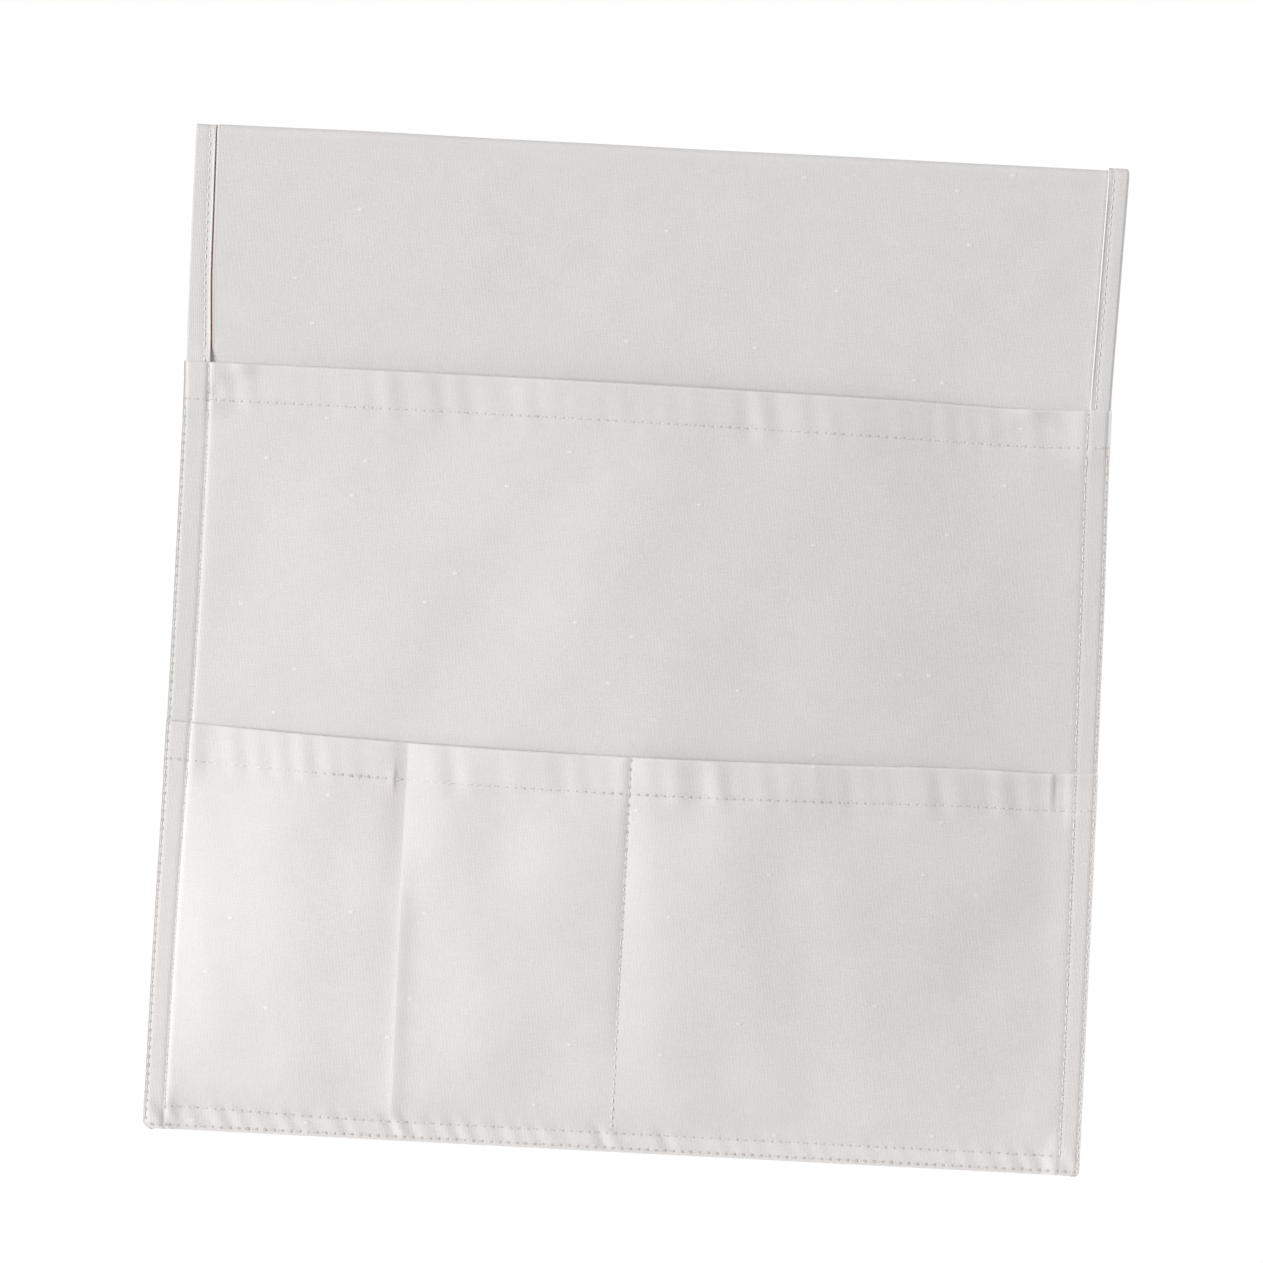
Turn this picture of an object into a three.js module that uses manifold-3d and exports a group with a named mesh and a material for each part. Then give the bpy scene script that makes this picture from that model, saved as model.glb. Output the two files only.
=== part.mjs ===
// Armrest organizer: a hemmed canvas strip that hangs over a sofa arm. Its front end is a flap with one wide
// pocket and, sewn onto that, a row of three lower pockets. Its other end is a plain tail behind the arm.
// Every piece of cloth and every sewing thread is its own solid, laid up in the order it is sewn.
//
// Millimetres, +Z up. X runs along the arm and the pockets face -Y. The origin is the middle of the strip's
// underside, where it lies on the arm. "Out" is the distance outwards from the strip's inner face, the one
// that touches the arm.

import * as THREE from "three";
import { mergeVertices } from "three/addons/utils/BufferGeometryUtils.js";
import Module from "manifold-3d";

const wasm = await Module();
wasm.setup();

// The strip and the arm that it hangs on
const stripWidth = 340;
const armWidth = 200;
const flapDrop = 366; // top of the arm to the bottom edge of the pocketed flap
const tailDrop = 280;
const foldRadius = 6; // inside the bend where the cloth turns down over the arm's edge
const foldGap = 0.3; // between the strip's three lengths, halfway round each bend
const cornerRadius = 3; // bottom corners of the flap and of the tail

// The cloth and how it is sewn
const clothThickness = 0.8;
const layerGap = 0.3; // air between two layers that are sewn together
const hemWidth = 7.6; // long edges, turned once to the outer face
const hemSeamInset = 2; // from the free edge of that hem to its seam
const flapHem = 9; // bottom of the flap, turned to the back
const tailHem = 15; // bottom of the tail, turned to the back
const endSeamInset = 1.2; // from the free edge of the tail's hem to its seam
const threadDiameter = 0.35;
const threadGap = 0.2; // a thread to the cloth that it lies on
const dipWidth = 0.8; // floor of the dip that a hem's seam pulls into the cloth
const dipSlope = 0.5; // run of each side of that dip

// The pockets
const wideMouthDrop = 87; // top of the arm to the mouth of the wide pocket
const lowerMouthDrop = 218;
const mouthHem = 15; // each mouth's edge, turned into the pocket
const mouthSeamInset = 1.2; // from the free edge of a mouth's hem to its seam
const leftPocketWidth = 89; // from the strip's left edge to the first dividing seam
const middlePocketWidth = 80.6; // between the two dividing seams
const pocketSeamInset = 6.9; // inner seam round the pockets, from the strip's edges
const edgeSeamInset = 0.5; // outer seam round the pockets, from where the edge starts to round off
const wideBulgeDepth = 6; // how far the pocket's cloth stands off at its fullest
const leftBulgeDepth = 7;
const middleBulgeDepth = 7;
const rightBulgeDepth = 6;
const bottomRun = 12; // height over which the pockets' cloth comes down onto the flap at the bottom seam
const ledgeRun = 1.7; // width over which cloth steps up onto the layer beside it
const liftRun = 3.5; // height over which a pocket's front lifts to make room for its mouth's hem

// How finely the curved cloth is cut into facets
const columnsPerPocket = 7;
const rowsPerPocket = 4;
const stepsPerTurn = 5;
const threadSides = 6;

const canvas = { color: 0xd9d7d5, roughness: 0.92, metalness: 0 };
const cottonThread = { color: 0xd2cfcb, roughness: 0.85, metalness: 0 };

// Levels and lines that follow from the sizes above
const halfWidth = stripWidth / 2;
const turnRadius = clothThickness + layerGap / 2; // outside of a folded edge
const hemTop = 2 * turnRadius; // out of the strip's inner face
const hemEdge = halfWidth - hemWidth;
const hemSeam = hemEdge + hemSeamInset;
const layerStep = clothThickness + layerGap;
const threadRadius = threadDiameter / 2;
const threadLift = threadGap + threadRadius; // a thread's middle above its cloth
const dipDepth = threadGap + threadDiameter; // so that the thread lies flush
const stripTop = clothThickness;
const flapBottom = stripTop - flapDrop;
const tailBottom = stripTop - tailDrop;
const wideMouth = stripTop - wideMouthDrop;
const lowerMouth = stripTop - lowerMouthDrop;
const sideSeam = halfWidth - pocketSeamInset;
const bottomSeam = flapBottom + pocketSeamInset;
const outerSideSeam = halfWidth - turnRadius - edgeSeamInset;
const outerBottomSeam = flapBottom + turnRadius + edgeSeamInset;
const firstDivider = leftPocketWidth - halfWidth;
const secondDivider = firstDivider + middlePocketWidth;
const lowerPockets = [
  { from: -sideSeam, to: firstDivider, bulgeDepth: leftBulgeDepth },
  { from: firstDivider, to: secondDivider, bulgeDepth: middleBulgeDepth },
  { from: secondDivider, to: sideSeam, bulgeDepth: rightBulgeDepth },
];

// Solids

function signedVolume(positions, faces) {
  const corner = (i) => new THREE.Vector3().fromArray(positions, 3 * i);
  let sum = 0;
  for (let f = 0; f < faces.length; f += 3)
    sum += corner(faces[f]).dot(corner(faces[f + 1]).cross(corner(faces[f + 2])));
  return sum / 6;
}

// The triangles that fill a flat outline, turned the way the outline runs.
function capFaces(outline) {
  const normal = new THREE.Vector3();
  outline.forEach((p, i) => normal.add(p.clone().cross(outline[(i + 1) % outline.length])));
  const [u, v] = ["x", "y", "z"].sort((a, b) => Math.abs(normal[a]) - Math.abs(normal[b]));
  const flat = outline.map((p) => new THREE.Vector2(p[u], p[v]));
  const runsRound = THREE.ShapeUtils.area(flat) > 0;
  return THREE.ShapeUtils.triangulateShape(flat, []).map(([a, b, c]) =>
    THREE.ShapeUtils.area([flat[a], flat[b], flat[c]]) > 0 === runsRound ? [a, b, c] : [a, c, b],
  );
}

// A closed solid through a row of outlines that match point for point, capped at both ends. The second half of
// each outline is cut along the other diagonal, so that both faces of a cloth have the same facets.
function loft(outlines) {
  const count = outlines[0].length;
  const positions = outlines.flat().flatMap((p) => p.toArray());
  const faces = [];
  for (let row = 0; row + 1 < outlines.length; row++)
    for (let i = 0; i < count; i++) {
      const a = row * count + i;
      const b = row * count + ((i + 1) % count);
      if (i < count / 2) faces.push(a, b, b + count, a, b + count, a + count);
      else faces.push(a, b, a + count, b, b + count, a + count);
    }
  const last = (outlines.length - 1) * count;
  for (const [a, b, c] of capFaces(outlines[0])) faces.push(a, c, b);
  for (const [a, b, c] of capFaces(outlines.at(-1))) faces.push(last + a, last + b, last + c);
  if (signedVolume(positions, faces) < 0) faces.reverse();
  return new THREE.BufferGeometry()
    .setAttribute("position", new THREE.Float32BufferAttribute(positions, 3))
    .setIndex(faces);
}

function toSolid(geometry) {
  const bare = geometry.clone();
  bare.deleteAttribute("normal");
  bare.deleteAttribute("uv");
  const merged = mergeVertices(bare, 1e-4);
  const vertProperties = new Float32Array(merged.attributes.position.array);
  const triVerts = new Uint32Array(merged.index.array);
  return new wasm.Manifold(new wasm.Mesh({ numProp: 3, vertProperties, triVerts }));
}

function toGeometry(solid) {
  const { vertProperties, triVerts } = solid.getMesh();
  return new THREE.BufferGeometry()
    .setAttribute("position", new THREE.BufferAttribute(vertProperties, 3))
    .setIndex(new THREE.BufferAttribute(triVerts, 1));
}

// Cuts a hanging length of cloth to its outline: straight sides, and two round corners at the bottom.
function roundCorners(geometry, bottom) {
  const above = stripTop + armWidth;
  const corner = new THREE.Vector2(halfWidth - cornerRadius, bottom + cornerRadius);
  const outline = new THREE.Shape()
    .moveTo(stripWidth, above)
    .lineTo(-stripWidth, above)
    .lineTo(-stripWidth, corner.y)
    .lineTo(-halfWidth, corner.y)
    .absarc(-corner.x, corner.y, cornerRadius, Math.PI, 1.5 * Math.PI)
    .absarc(corner.x, corner.y, cornerRadius, 1.5 * Math.PI, 2 * Math.PI)
    .lineTo(stripWidth, corner.y);
  const options = { depth: 2 * armWidth, bevelEnabled: false, curveSegments: stepsPerTurn };
  const cutter = new THREE.ExtrudeGeometry(outline, options).translate(0, 0, -armWidth).rotateX(Math.PI / 2);
  return toGeometry(toSolid(geometry).intersect(toSolid(cutter)));
}

function turn(from, to) {
  return Array.from({ length: stepsPerTurn + 1 }, (_, i) => from + ((to - from) * i) / stepsPerTurn);
}

// The strip: one cross-section, with both long edges turned to the outer face, drawn along the cloth's path

// Half of the cross-section, as points of (across, out), from the middle of the inner face round the hem.
function hemSection() {
  const foldX = halfWidth - turnRadius;
  const floor = dipWidth / 2;
  const rim = floor + dipSlope;
  const round = (radius, angles) =>
    angles.map((a) => [foldX + radius * Math.cos(a), turnRadius + radius * Math.sin(a)]);
  return [
    [hemSeam - rim, 0],
    [hemSeam - floor, dipDepth],
    [hemSeam + floor, dipDepth],
    [hemSeam + rim, 0],
    ...round(turnRadius, turn(-Math.PI / 2, Math.PI / 2)),
    [hemSeam + rim, hemTop],
    [hemSeam + floor, hemTop - dipDepth],
    [hemSeam - floor, hemTop - dipDepth],
    [hemSeam - rim, hemTop],
    [hemEdge, hemTop],
    [hemEdge, hemTop - clothThickness],
    ...round(layerGap / 2, turn(Math.PI / 2, -Math.PI / 2)),
  ];
}

const stripSection = [
  ...hemSection(),
  ...hemSection()
    .reverse()
    .map(([across, out]) => [-across, out]),
];

// A stop on the cloth's path: a point of its inner face at the middle of the strip, and which way is out there.
const stop = (y, z, outY, outZ) => ({ y, z, outY, outZ });
const onStop = (at, across, out) => new THREE.Vector3(across, at.y + at.outY * out, at.z + at.outZ * out);
const stripAlong = (stops) => loft(stops.map((at) => stripSection.map(([x, out]) => onStop(at, x, out))));

// A stop in the bend over the arm's front edge, seen from a flap whose inner face is at y 0: the angle is 0 on
// top of the arm and a quarter turn on the flap.
function bendStop(angle) {
  const outY = -Math.sin(angle);
  const outZ = Math.cos(angle);
  return stop(foldRadius * (1 + outY), foldRadius * (outZ - 1), outY, outZ);
}

const splitAngle = Math.PI / 4;
const splitHalf = foldGap / 2 / foldRadius;
const bendOnArm = turn(splitAngle - splitHalf, 0).map(bendStop);
const bendOnFlap = turn(splitAngle + splitHalf, Math.PI / 2).map(bendStop);

const armStops = [
  ...bendOnArm.map((at) => ({ ...at, y: at.y - armWidth / 2 })),
  ...bendOnArm.toReversed().map((at) => ({ ...at, y: armWidth / 2 - at.y, outY: -at.outY })),
];

// The path of a flap that hangs from the arm: round the bend, straight down, and turned up behind at its end.
function hangingStops(bottom, hem) {
  const middle = layerGap / 2;
  const turnZ = bottom + turnRadius;
  const endTurn = turn(0, Math.PI).map((a) =>
    stop(middle - middle * Math.cos(a), turnZ - middle * Math.sin(a), -Math.cos(a), -Math.sin(a)),
  );
  return [...bendOnFlap, ...endTurn, stop(layerGap, bottom + hem, 1, 0)];
}

const flapStops = hangingStops(flapBottom, flapHem);
const tailStops = hangingStops(tailBottom, tailHem);

// The pockets: where their cloth lies, as the distance out of the flap's inner face

const smooth = (value, from, to) => THREE.MathUtils.smoothstep(value, from, to);

// How far cloth stands off between two seams, from 0 at each seam to 1 along the middle.
function crown(x, from, to) {
  const share = Math.abs((2 * x - from - to) / (to - from));
  return share < 1 ? 1 - share ** 4 : 0;
}

// How far it stands off with height: nothing at the bottom seam, and nearly all of it well below the mouth.
function rise(z, mouth) {
  const share = THREE.MathUtils.clamp((z - bottomSeam) / (mouth - bottomSeam), 0, 1);
  return 1 - (1 - share) ** 3;
}

// A pocket's front lifts by one layer where its mouth's hem lies behind it.
const mouthLift = (z, mouth) => {
  const hemEnd = mouth - mouthHem;
  return layerStep * smooth(z, hemEnd - liftRun, hemEnd);
};

// Middle of the wide pocket's cloth. It lies on the strip's hems at the sides, and between them it comes down
// onto the flap itself at the bottom.
function wideLevel(x, z) {
  const betweenHems = smooth(hemEdge - layerGap - Math.abs(x), 0, ledgeRun);
  const atBottom = 1 - smooth(z, bottomSeam, bottomSeam + bottomRun);
  const settled = (hemTop - clothThickness) * betweenHems * atBottom;
  const bulge = wideBulgeDepth * crown(x, -sideSeam, sideSeam) * rise(z, wideMouth);
  return hemTop + layerGap + clothThickness / 2 + mouthLift(z, wideMouth) + bulge - settled;
}

// Middle of the lower pockets' cloth, which is sewn onto the wide pocket's front at its edges and its dividers.
function lowerLevel(x, z) {
  const bulge = lowerPockets.reduce((sum, p) => sum + p.bulgeDepth * crown(x, p.from, p.to), 0);
  return wideLevel(x, z) + layerStep + mouthLift(z, lowerMouth) + bulge * rise(z, lowerMouth);
}

const rowsBetween = (from, to) =>
  Array.from({ length: rowsPerPocket }, (_, i) => from + (to - from) * ((i + 1) / rowsPerPocket) ** 1.5);
const hemRows = (mouth) => [mouth - mouthHem, mouth - turnRadius];

const lowerRows = [
  flapBottom,
  bottomSeam,
  bottomSeam + bottomRun,
  ...rowsBetween(bottomSeam + bottomRun, lowerMouth - mouthHem - liftRun),
  ...hemRows(lowerMouth),
];
const wideRows = [
  ...lowerRows,
  ...rowsBetween(lowerMouth, wideMouth - mouthHem - liftRun),
  ...hemRows(wideMouth),
];

// Columns shared by both pocket cloths, closer together towards each seam.
const seamColumns = lowerPockets.flatMap(({ from, to }) =>
  Array.from({ length: columnsPerPocket }, (_, i) => {
    const share = (1 - Math.cos((Math.PI * i) / columnsPerPocket)) / 2;
    return from + (to - from) * share;
  }),
);
const ledgeColumns = [hemEdge - layerGap, hemEdge - layerGap - ledgeRun, halfWidth];
const columns = [...seamColumns, sideSeam, ...ledgeColumns, ...ledgeColumns.map((x) => -x)].sort((a, b) => a - b);

// A pocket's cloth cut across at one column: up the front, over the mouth, and down the hem inside. Both faces
// of the cloth make one closed outline.
function pocketOutline(x, rows, mouth, level) {
  const front = rows.map((z) => ({ z, out: level(x, z), faceOut: 1, faceZ: 0 }));
  const turnZ = mouth - turnRadius;
  const turnMiddle = layerStep / 2; // radius of the cloth's own middle round the fold
  const fold = turn(0, Math.PI).map((a) => ({
    z: turnZ + turnMiddle * Math.sin(a),
    out: level(x, turnZ) - turnMiddle * (1 - Math.cos(a)),
    faceOut: Math.cos(a),
    faceZ: Math.sin(a),
  }));
  const hemEnd = mouth - mouthHem;
  const end = { z: hemEnd, out: level(x, hemEnd) - layerStep, faceOut: -1, faceZ: 0 };
  const path = [...front.slice(0, -1), ...fold, end];
  const face = (side) =>
    path.map((p) => {
      const shift = (side * clothThickness) / 2;
      return new THREE.Vector3(x, -(p.out + shift * p.faceOut), p.z + shift * p.faceZ);
    });
  return [...face(1), ...face(-1).reverse()];
}

const pocketCloth = (rows, mouth, level) =>
  roundCorners(loft(columns.map((x) => pocketOutline(x, rows, mouth, level))), flapBottom);

// Threads: each seam's needle thread lies on the outer face and its bobbin thread on the inner face

// A thread through a list of points, round in section and carried along without twist.
function thread(points) {
  let across = new THREE.Vector3(1, 1, 1);
  return loft(
    points.map((p, i) => {
      const before = points[Math.max(i - 1, 0)];
      const after = points[Math.min(i + 1, points.length - 1)];
      const along = after.clone().sub(before).normalize();
      across = across.clone().addScaledVector(along, -across.dot(along)).normalize();
      const up = along.clone().cross(across);
      return Array.from({ length: threadSides }, (_, k) => {
        const a = (2 * Math.PI * k) / threadSides;
        const reach = across.clone().multiplyScalar(Math.cos(a)).addScaledVector(up, Math.sin(a));
        return p.clone().addScaledVector(reach, threadRadius);
      });
    }),
  );
}

const needleInDip = hemTop - dipDepth + threadLift;
const bobbinInDip = dipDepth - threadLift;
const hemThread = (stops, x, out) => thread(stops.map((at) => onStop(at, x, out)));

// A hem's seam down a flap, from the bend to just above the turned end.
const hemSeamStops = (bottom, hem) => [...bendOnFlap, stop(0, bottom + hem, -1, 0)];

const at = (x, z, out) => new THREE.Vector3(x, -out, z);
const wideFront = (x, z) => wideLevel(x, z) + clothThickness / 2 + threadLift;
const lowerFront = (x, z) => lowerLevel(x, z) + clothThickness / 2 + threadLift;

// A run of points across the strip where the hems stand higher than the cloth between them.
function overHems(z, end, onHem, between, middle = []) {
  const ledge = hemEdge - threadLift;
  const half = [at(-end, z, onHem), at(-ledge, z, onHem), at(-ledge, z, between)];
  const mirrored = half.toReversed().map((p) => new THREE.Vector3(-p.x, p.y, p.z));
  return end > hemEdge ? [...half, ...middle, ...mirrored] : [at(-end, z, between), at(end, z, between)];
}

// Front of a seam round the pockets: down one side, along the bottom and up the other side.
function pocketSeamFront(side, bottom) {
  const startZ = wideMouth - 2 * turnRadius;
  const ledgeZ = lowerMouth + threadLift;
  const onWide = wideRows.filter((z) => z > ledgeZ && z < startZ).reverse();
  const onLower = lowerRows.filter((z) => z < lowerMouth - turnRadius && z > bottom + cornerRadius).reverse();
  const down = (x) => [
    at(x, startZ, wideFront(x, startZ)),
    ...onWide.map((z) => at(x, z, wideFront(x, z))),
    at(x, ledgeZ, wideFront(x, ledgeZ)),
    at(x, ledgeZ, lowerFront(x, lowerMouth - turnRadius)),
    at(x, lowerMouth - turnRadius, lowerFront(x, lowerMouth - turnRadius)),
    ...onLower.map((z) => at(x, z, lowerFront(x, z))),
  ];
  const bend = Math.max(cornerRadius - (halfWidth - side), threadDiameter);
  const corner = (sign) => [
    at(sign * side, bottom + bend, lowerFront(sign * side, bottom + bend)),
    at(sign * (side - bend), bottom, lowerFront(sign * (side - bend), bottom)),
  ];
  const along = columns.filter((x) => Math.abs(x) < side - bend).map((x) => at(x, bottom, lowerFront(x, bottom)));
  return thread([...down(-side), ...corner(-1), ...along, ...corner(1).reverse(), ...down(side).reverse()]);
}

// Back of such a seam: on the flap's inner face, and at the bottom on the hem that is turned up behind it.
function pocketSeamBack(side, bottom) {
  const startZ = wideMouth - 2 * turnRadius;
  const ledgeZ = flapBottom + flapHem + threadLift;
  const onFlap = -threadLift;
  const onTurnedHem = -layerGap - hemTop - threadLift;
  const onTurnedCloth = -layerGap - clothThickness - threadLift;
  const level = side > hemEdge ? onTurnedHem : onTurnedCloth;
  const bend = Math.max(cornerRadius - (halfWidth - side), threadDiameter);
  const down = (x) => [at(x, startZ, onFlap), at(x, ledgeZ, onFlap), at(x, ledgeZ, level), at(x, bottom + bend, level)];
  const along = overHems(bottom, side - bend, onTurnedHem, onTurnedCloth);
  return thread([...down(-side), ...along, ...down(side).reverse()]);
}

// A mouth's seam across the front of its pocket, between the seams at the sides.
function mouthSeamFront(mouth, front) {
  const z = mouth - mouthHem + mouthSeamInset;
  const end = sideSeam - 2 * threadLift;
  const xs = [-end, ...columns.filter((x) => Math.abs(x) < end), end];
  return thread(xs.map((x) => at(x, z, front(x, z))));
}

// Inside a pocket the thread lies on the back of the mouth's hem, where the pocket stands open.
function mouthSeamBack(mouth, level, from, to) {
  const z = mouth - mouthHem + mouthSeamInset;
  const behind = layerStep + clothThickness / 2 + threadLift;
  const clear = (to - from) / 8;
  const xs = columns.filter((x) => x > from + clear && x < to - clear);
  return thread(xs.map((x) => at(x, z, level(x, z) - behind)));
}

// A dividing seam, which passes over the thread of the mouth's hem.
function dividerFront(x) {
  const hemSeamZ = lowerMouth - mouthHem + mouthSeamInset;
  const over = threadDiameter + threadGap;
  const hump = [
    [hemSeamZ - 3 * over, 0],
    [hemSeamZ - over, over],
    [hemSeamZ + over, over],
    [hemSeamZ + 3 * over, 0],
  ];
  const plain = lowerRows
    .filter((z) => z > bottomSeam && z < lowerMouth && Math.abs(z - hemSeamZ) > 3 * over)
    .map((z) => [z, 0]);
  const ends = [[bottomSeam + 2 * threadLift, 0]];
  const rows = [...ends, ...plain, ...hump].sort((a, b) => a[0] - b[0]);
  return thread(rows.map(([z, lift]) => at(x, z, lowerFront(x, z) + lift)));
}

function dividerBack(x) {
  const behind = clothThickness / 2 + threadLift;
  const startZ = bottomSeam + 2 * bottomRun;
  const rows = [startZ, ...lowerRows.filter((z) => z > startZ && z < lowerMouth)];
  return thread(rows.map((z) => at(x, z, wideLevel(x, z) - behind)));
}

// The tail's end hem, stitched across near its free edge.
const tailSeamZ = tailBottom + tailHem - endSeamInset;
const tailSeamEnd = hemSeam - 2 * threadLift - dipWidth;
const tailEndFront = () =>
  thread(overHems(tailSeamZ, tailSeamEnd, hemTop + threadLift, clothThickness + threadLift));
const tailEndBack = () => {
  const onHem = -layerGap - hemTop - threadLift;
  return thread(overHems(tailSeamZ, tailSeamEnd, onHem, -layerGap - clothThickness - threadLift));
};

// The assembly: the length over the arm, and two flaps that hang from it

function piece(parent, name, geometry, finish) {
  const mesh = new THREE.Mesh(geometry, new THREE.MeshStandardMaterial(finish));
  geometry.computeVertexNormals();
  mesh.name = name;
  parent.add(mesh);
}

const organizer = new THREE.Group();
const overArm = new THREE.Group();
const pocketFlap = new THREE.Group();
const tail = new THREE.Group();
pocketFlap.position.y = -armWidth / 2;
tail.position.y = armWidth / 2;
tail.rotation.z = Math.PI;
organizer.add(overArm, pocketFlap, tail);

piece(overArm, "arm_panel", stripAlong(armStops), canvas);
piece(pocketFlap, "front_panel", roundCorners(stripAlong(flapStops), flapBottom), canvas);
piece(pocketFlap, "wide_pocket", pocketCloth(wideRows, wideMouth, wideLevel), canvas);
piece(pocketFlap, "lower_pockets", pocketCloth(lowerRows, lowerMouth, lowerLevel), canvas);
piece(tail, "tail_panel", roundCorners(stripAlong(tailStops), tailBottom), canvas);

const flapHemStops = hemSeamStops(flapBottom, flapHem);
const tailHemStops = hemSeamStops(tailBottom, tailHem);
for (const [side, x] of [["left", -hemSeam], ["right", hemSeam]]) {
  piece(overArm, `arm_hem_${side}_needle_thread`, hemThread(armStops, x, needleInDip), cottonThread);
  piece(overArm, `arm_hem_${side}_bobbin_thread`, hemThread(armStops, x, bobbinInDip), cottonThread);
  piece(pocketFlap, `flap_hem_${side}_needle_thread`, hemThread(flapHemStops, x, needleInDip), cottonThread);
  piece(pocketFlap, `flap_hem_${side}_bobbin_thread`, hemThread(flapHemStops, x, bobbinInDip), cottonThread);
  piece(tail, `tail_hem_${side}_needle_thread`, hemThread(tailHemStops, -x, needleInDip), cottonThread);
  piece(tail, `tail_hem_${side}_bobbin_thread`, hemThread(tailHemStops, -x, bobbinInDip), cottonThread);
}
piece(tail, "tail_end_needle_thread", tailEndFront(), cottonThread);
piece(tail, "tail_end_bobbin_thread", tailEndBack(), cottonThread);

piece(pocketFlap, "pocket_inner_seam_needle_thread", pocketSeamFront(sideSeam, bottomSeam), cottonThread);
piece(pocketFlap, "pocket_inner_seam_bobbin_thread", pocketSeamBack(sideSeam, bottomSeam), cottonThread);
piece(pocketFlap, "pocket_outer_seam_needle_thread", pocketSeamFront(outerSideSeam, outerBottomSeam), cottonThread);
piece(pocketFlap, "pocket_outer_seam_bobbin_thread", pocketSeamBack(outerSideSeam, outerBottomSeam), cottonThread);

const wideInside = mouthSeamBack(wideMouth, wideLevel, -sideSeam, sideSeam);
piece(pocketFlap, "wide_mouth_needle_thread", mouthSeamFront(wideMouth, wideFront), cottonThread);
piece(pocketFlap, "wide_mouth_bobbin_thread", wideInside, cottonThread);
piece(pocketFlap, "lower_mouth_needle_thread", mouthSeamFront(lowerMouth, lowerFront), cottonThread);
["left", "middle", "right"].forEach((name, i) => {
  const { from, to } = lowerPockets[i];
  const inside = mouthSeamBack(lowerMouth, lowerLevel, from, to);
  piece(pocketFlap, `lower_mouth_${name}_bobbin_thread`, inside, cottonThread);
});
for (const [name, x] of [["first", firstDivider], ["second", secondDivider]]) {
  piece(pocketFlap, `${name}_divider_needle_thread`, dividerFront(x), cottonThread);
  piece(pocketFlap, `${name}_divider_bobbin_thread`, dividerBack(x), cottonThread);
}

export default organizer;
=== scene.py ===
# Armrest organizer in off-white canvas: a strip that hangs over a sofa arm, pockets on its front flap, every row of
# stitches, and a plain studio. Sizes are in millimetres here, and meshes are made in metres.
import math

import bmesh
import bpy
import numpy as np
from mathutils import Matrix, Vector


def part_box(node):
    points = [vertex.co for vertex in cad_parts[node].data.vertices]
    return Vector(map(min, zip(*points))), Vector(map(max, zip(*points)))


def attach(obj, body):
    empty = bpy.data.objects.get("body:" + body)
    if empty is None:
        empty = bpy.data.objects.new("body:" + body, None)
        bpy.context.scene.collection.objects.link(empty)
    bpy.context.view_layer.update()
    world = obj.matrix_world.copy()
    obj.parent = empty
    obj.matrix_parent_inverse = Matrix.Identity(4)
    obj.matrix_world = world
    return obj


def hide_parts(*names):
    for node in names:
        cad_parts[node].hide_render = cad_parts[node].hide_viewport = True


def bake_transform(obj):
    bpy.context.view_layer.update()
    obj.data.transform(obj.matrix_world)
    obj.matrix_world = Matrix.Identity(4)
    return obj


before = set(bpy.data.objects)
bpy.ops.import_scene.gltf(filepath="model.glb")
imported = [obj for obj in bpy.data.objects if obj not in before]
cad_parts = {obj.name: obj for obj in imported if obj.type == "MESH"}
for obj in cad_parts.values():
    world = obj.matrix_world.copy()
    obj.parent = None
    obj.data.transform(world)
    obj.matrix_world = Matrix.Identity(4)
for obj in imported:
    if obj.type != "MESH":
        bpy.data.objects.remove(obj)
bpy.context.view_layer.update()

scene = bpy.context.scene
scene.view_settings.view_transform = "Standard"
mm = 0.001

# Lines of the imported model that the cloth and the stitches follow


def nodeBox(node):
    low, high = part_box(node)
    return np.array(low) / mm, np.array(high) / mm


def middleLine(node, axis):
    low, high = nodeBox(node)
    return (low[axis] + high[axis]) / 2


cloth = {
    "thickness": 1.0,  # canvas with its nap
    "layerStep": 1.1,  # middle of one layer to middle of the next, where they are sewn together
    "baseLevel": 0.4,  # middle of the strip's cloth, out of its inner face
    "hemTop": 1.9,  # outer face of a side hem
    "hemWidth": 7.6,
    "bendRadius": 2.6,  # inside the fold over the arm's edge
    "bendReach": 6.0,  # how far to each side of that edge the cloth takes part in the bend
    "flapHem": 9.0,  # end of the flap, turned up behind
    "tailHem": 15.0,
    "mouthHem": 15.0,
    "threadRadius": 0.175,
    "leftCorner": 3.0,  # bottom corners
    "rightCorner": 1.8,
    "edgeRowOut": 0.6,  # the rows beside the outer edges run closer to them than the model's
    "hemRun": 9.0,  # how far below a mouth's hem the front starts to rise over it
    "edgeLift": 0.9,  # share of a layer that such a hem lifts the sewn edges
    "softShare": 0.28,  # rounding of a raw edge, as a share of the thickness
    "softAngle": 60.0,  # degrees past which an edge is rounded
    "sharp": 55.0,  # degrees past which faces meet in an edge
    "uvSpan": 500.0,  # millimetres of flat cloth across the whole UV square
    "uvMiddle": 200.0,  # where the middle of the cloth lies on it
}

halfWidth = nodeBox("wide_pocket")[1][0]
flapBottom = nodeBox("front_panel")[0][2]
tailBottom = nodeBox("tail_panel")[0][2]
armHalf = -nodeBox("front_panel")[0][1] - cloth["hemTop"]
wideMouth = nodeBox("wide_pocket")[1][2]
lowerMouth = nodeBox("lower_pockets")[1][2]
hemSeam = middleLine("arm_hem_right_needle_thread", 0)
wideSeam = middleLine("wide_mouth_needle_thread", 2)
lowerSeam = middleLine("lower_mouth_needle_thread", 2)
tailSeam = middleLine("tail_end_needle_thread", 2)
firstDivider = middleLine("first_divider_needle_thread", 0)
secondDivider = middleLine("second_divider_needle_thread", 0)
innerSeamBox = nodeBox("pocket_inner_seam_needle_thread")
outerSeamBox = nodeBox("pocket_outer_seam_needle_thread")
sideSeam = innerSeamBox[1][0] - cloth["threadRadius"]
bottomSeam = innerSeamBox[0][2] + cloth["threadRadius"]
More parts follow.
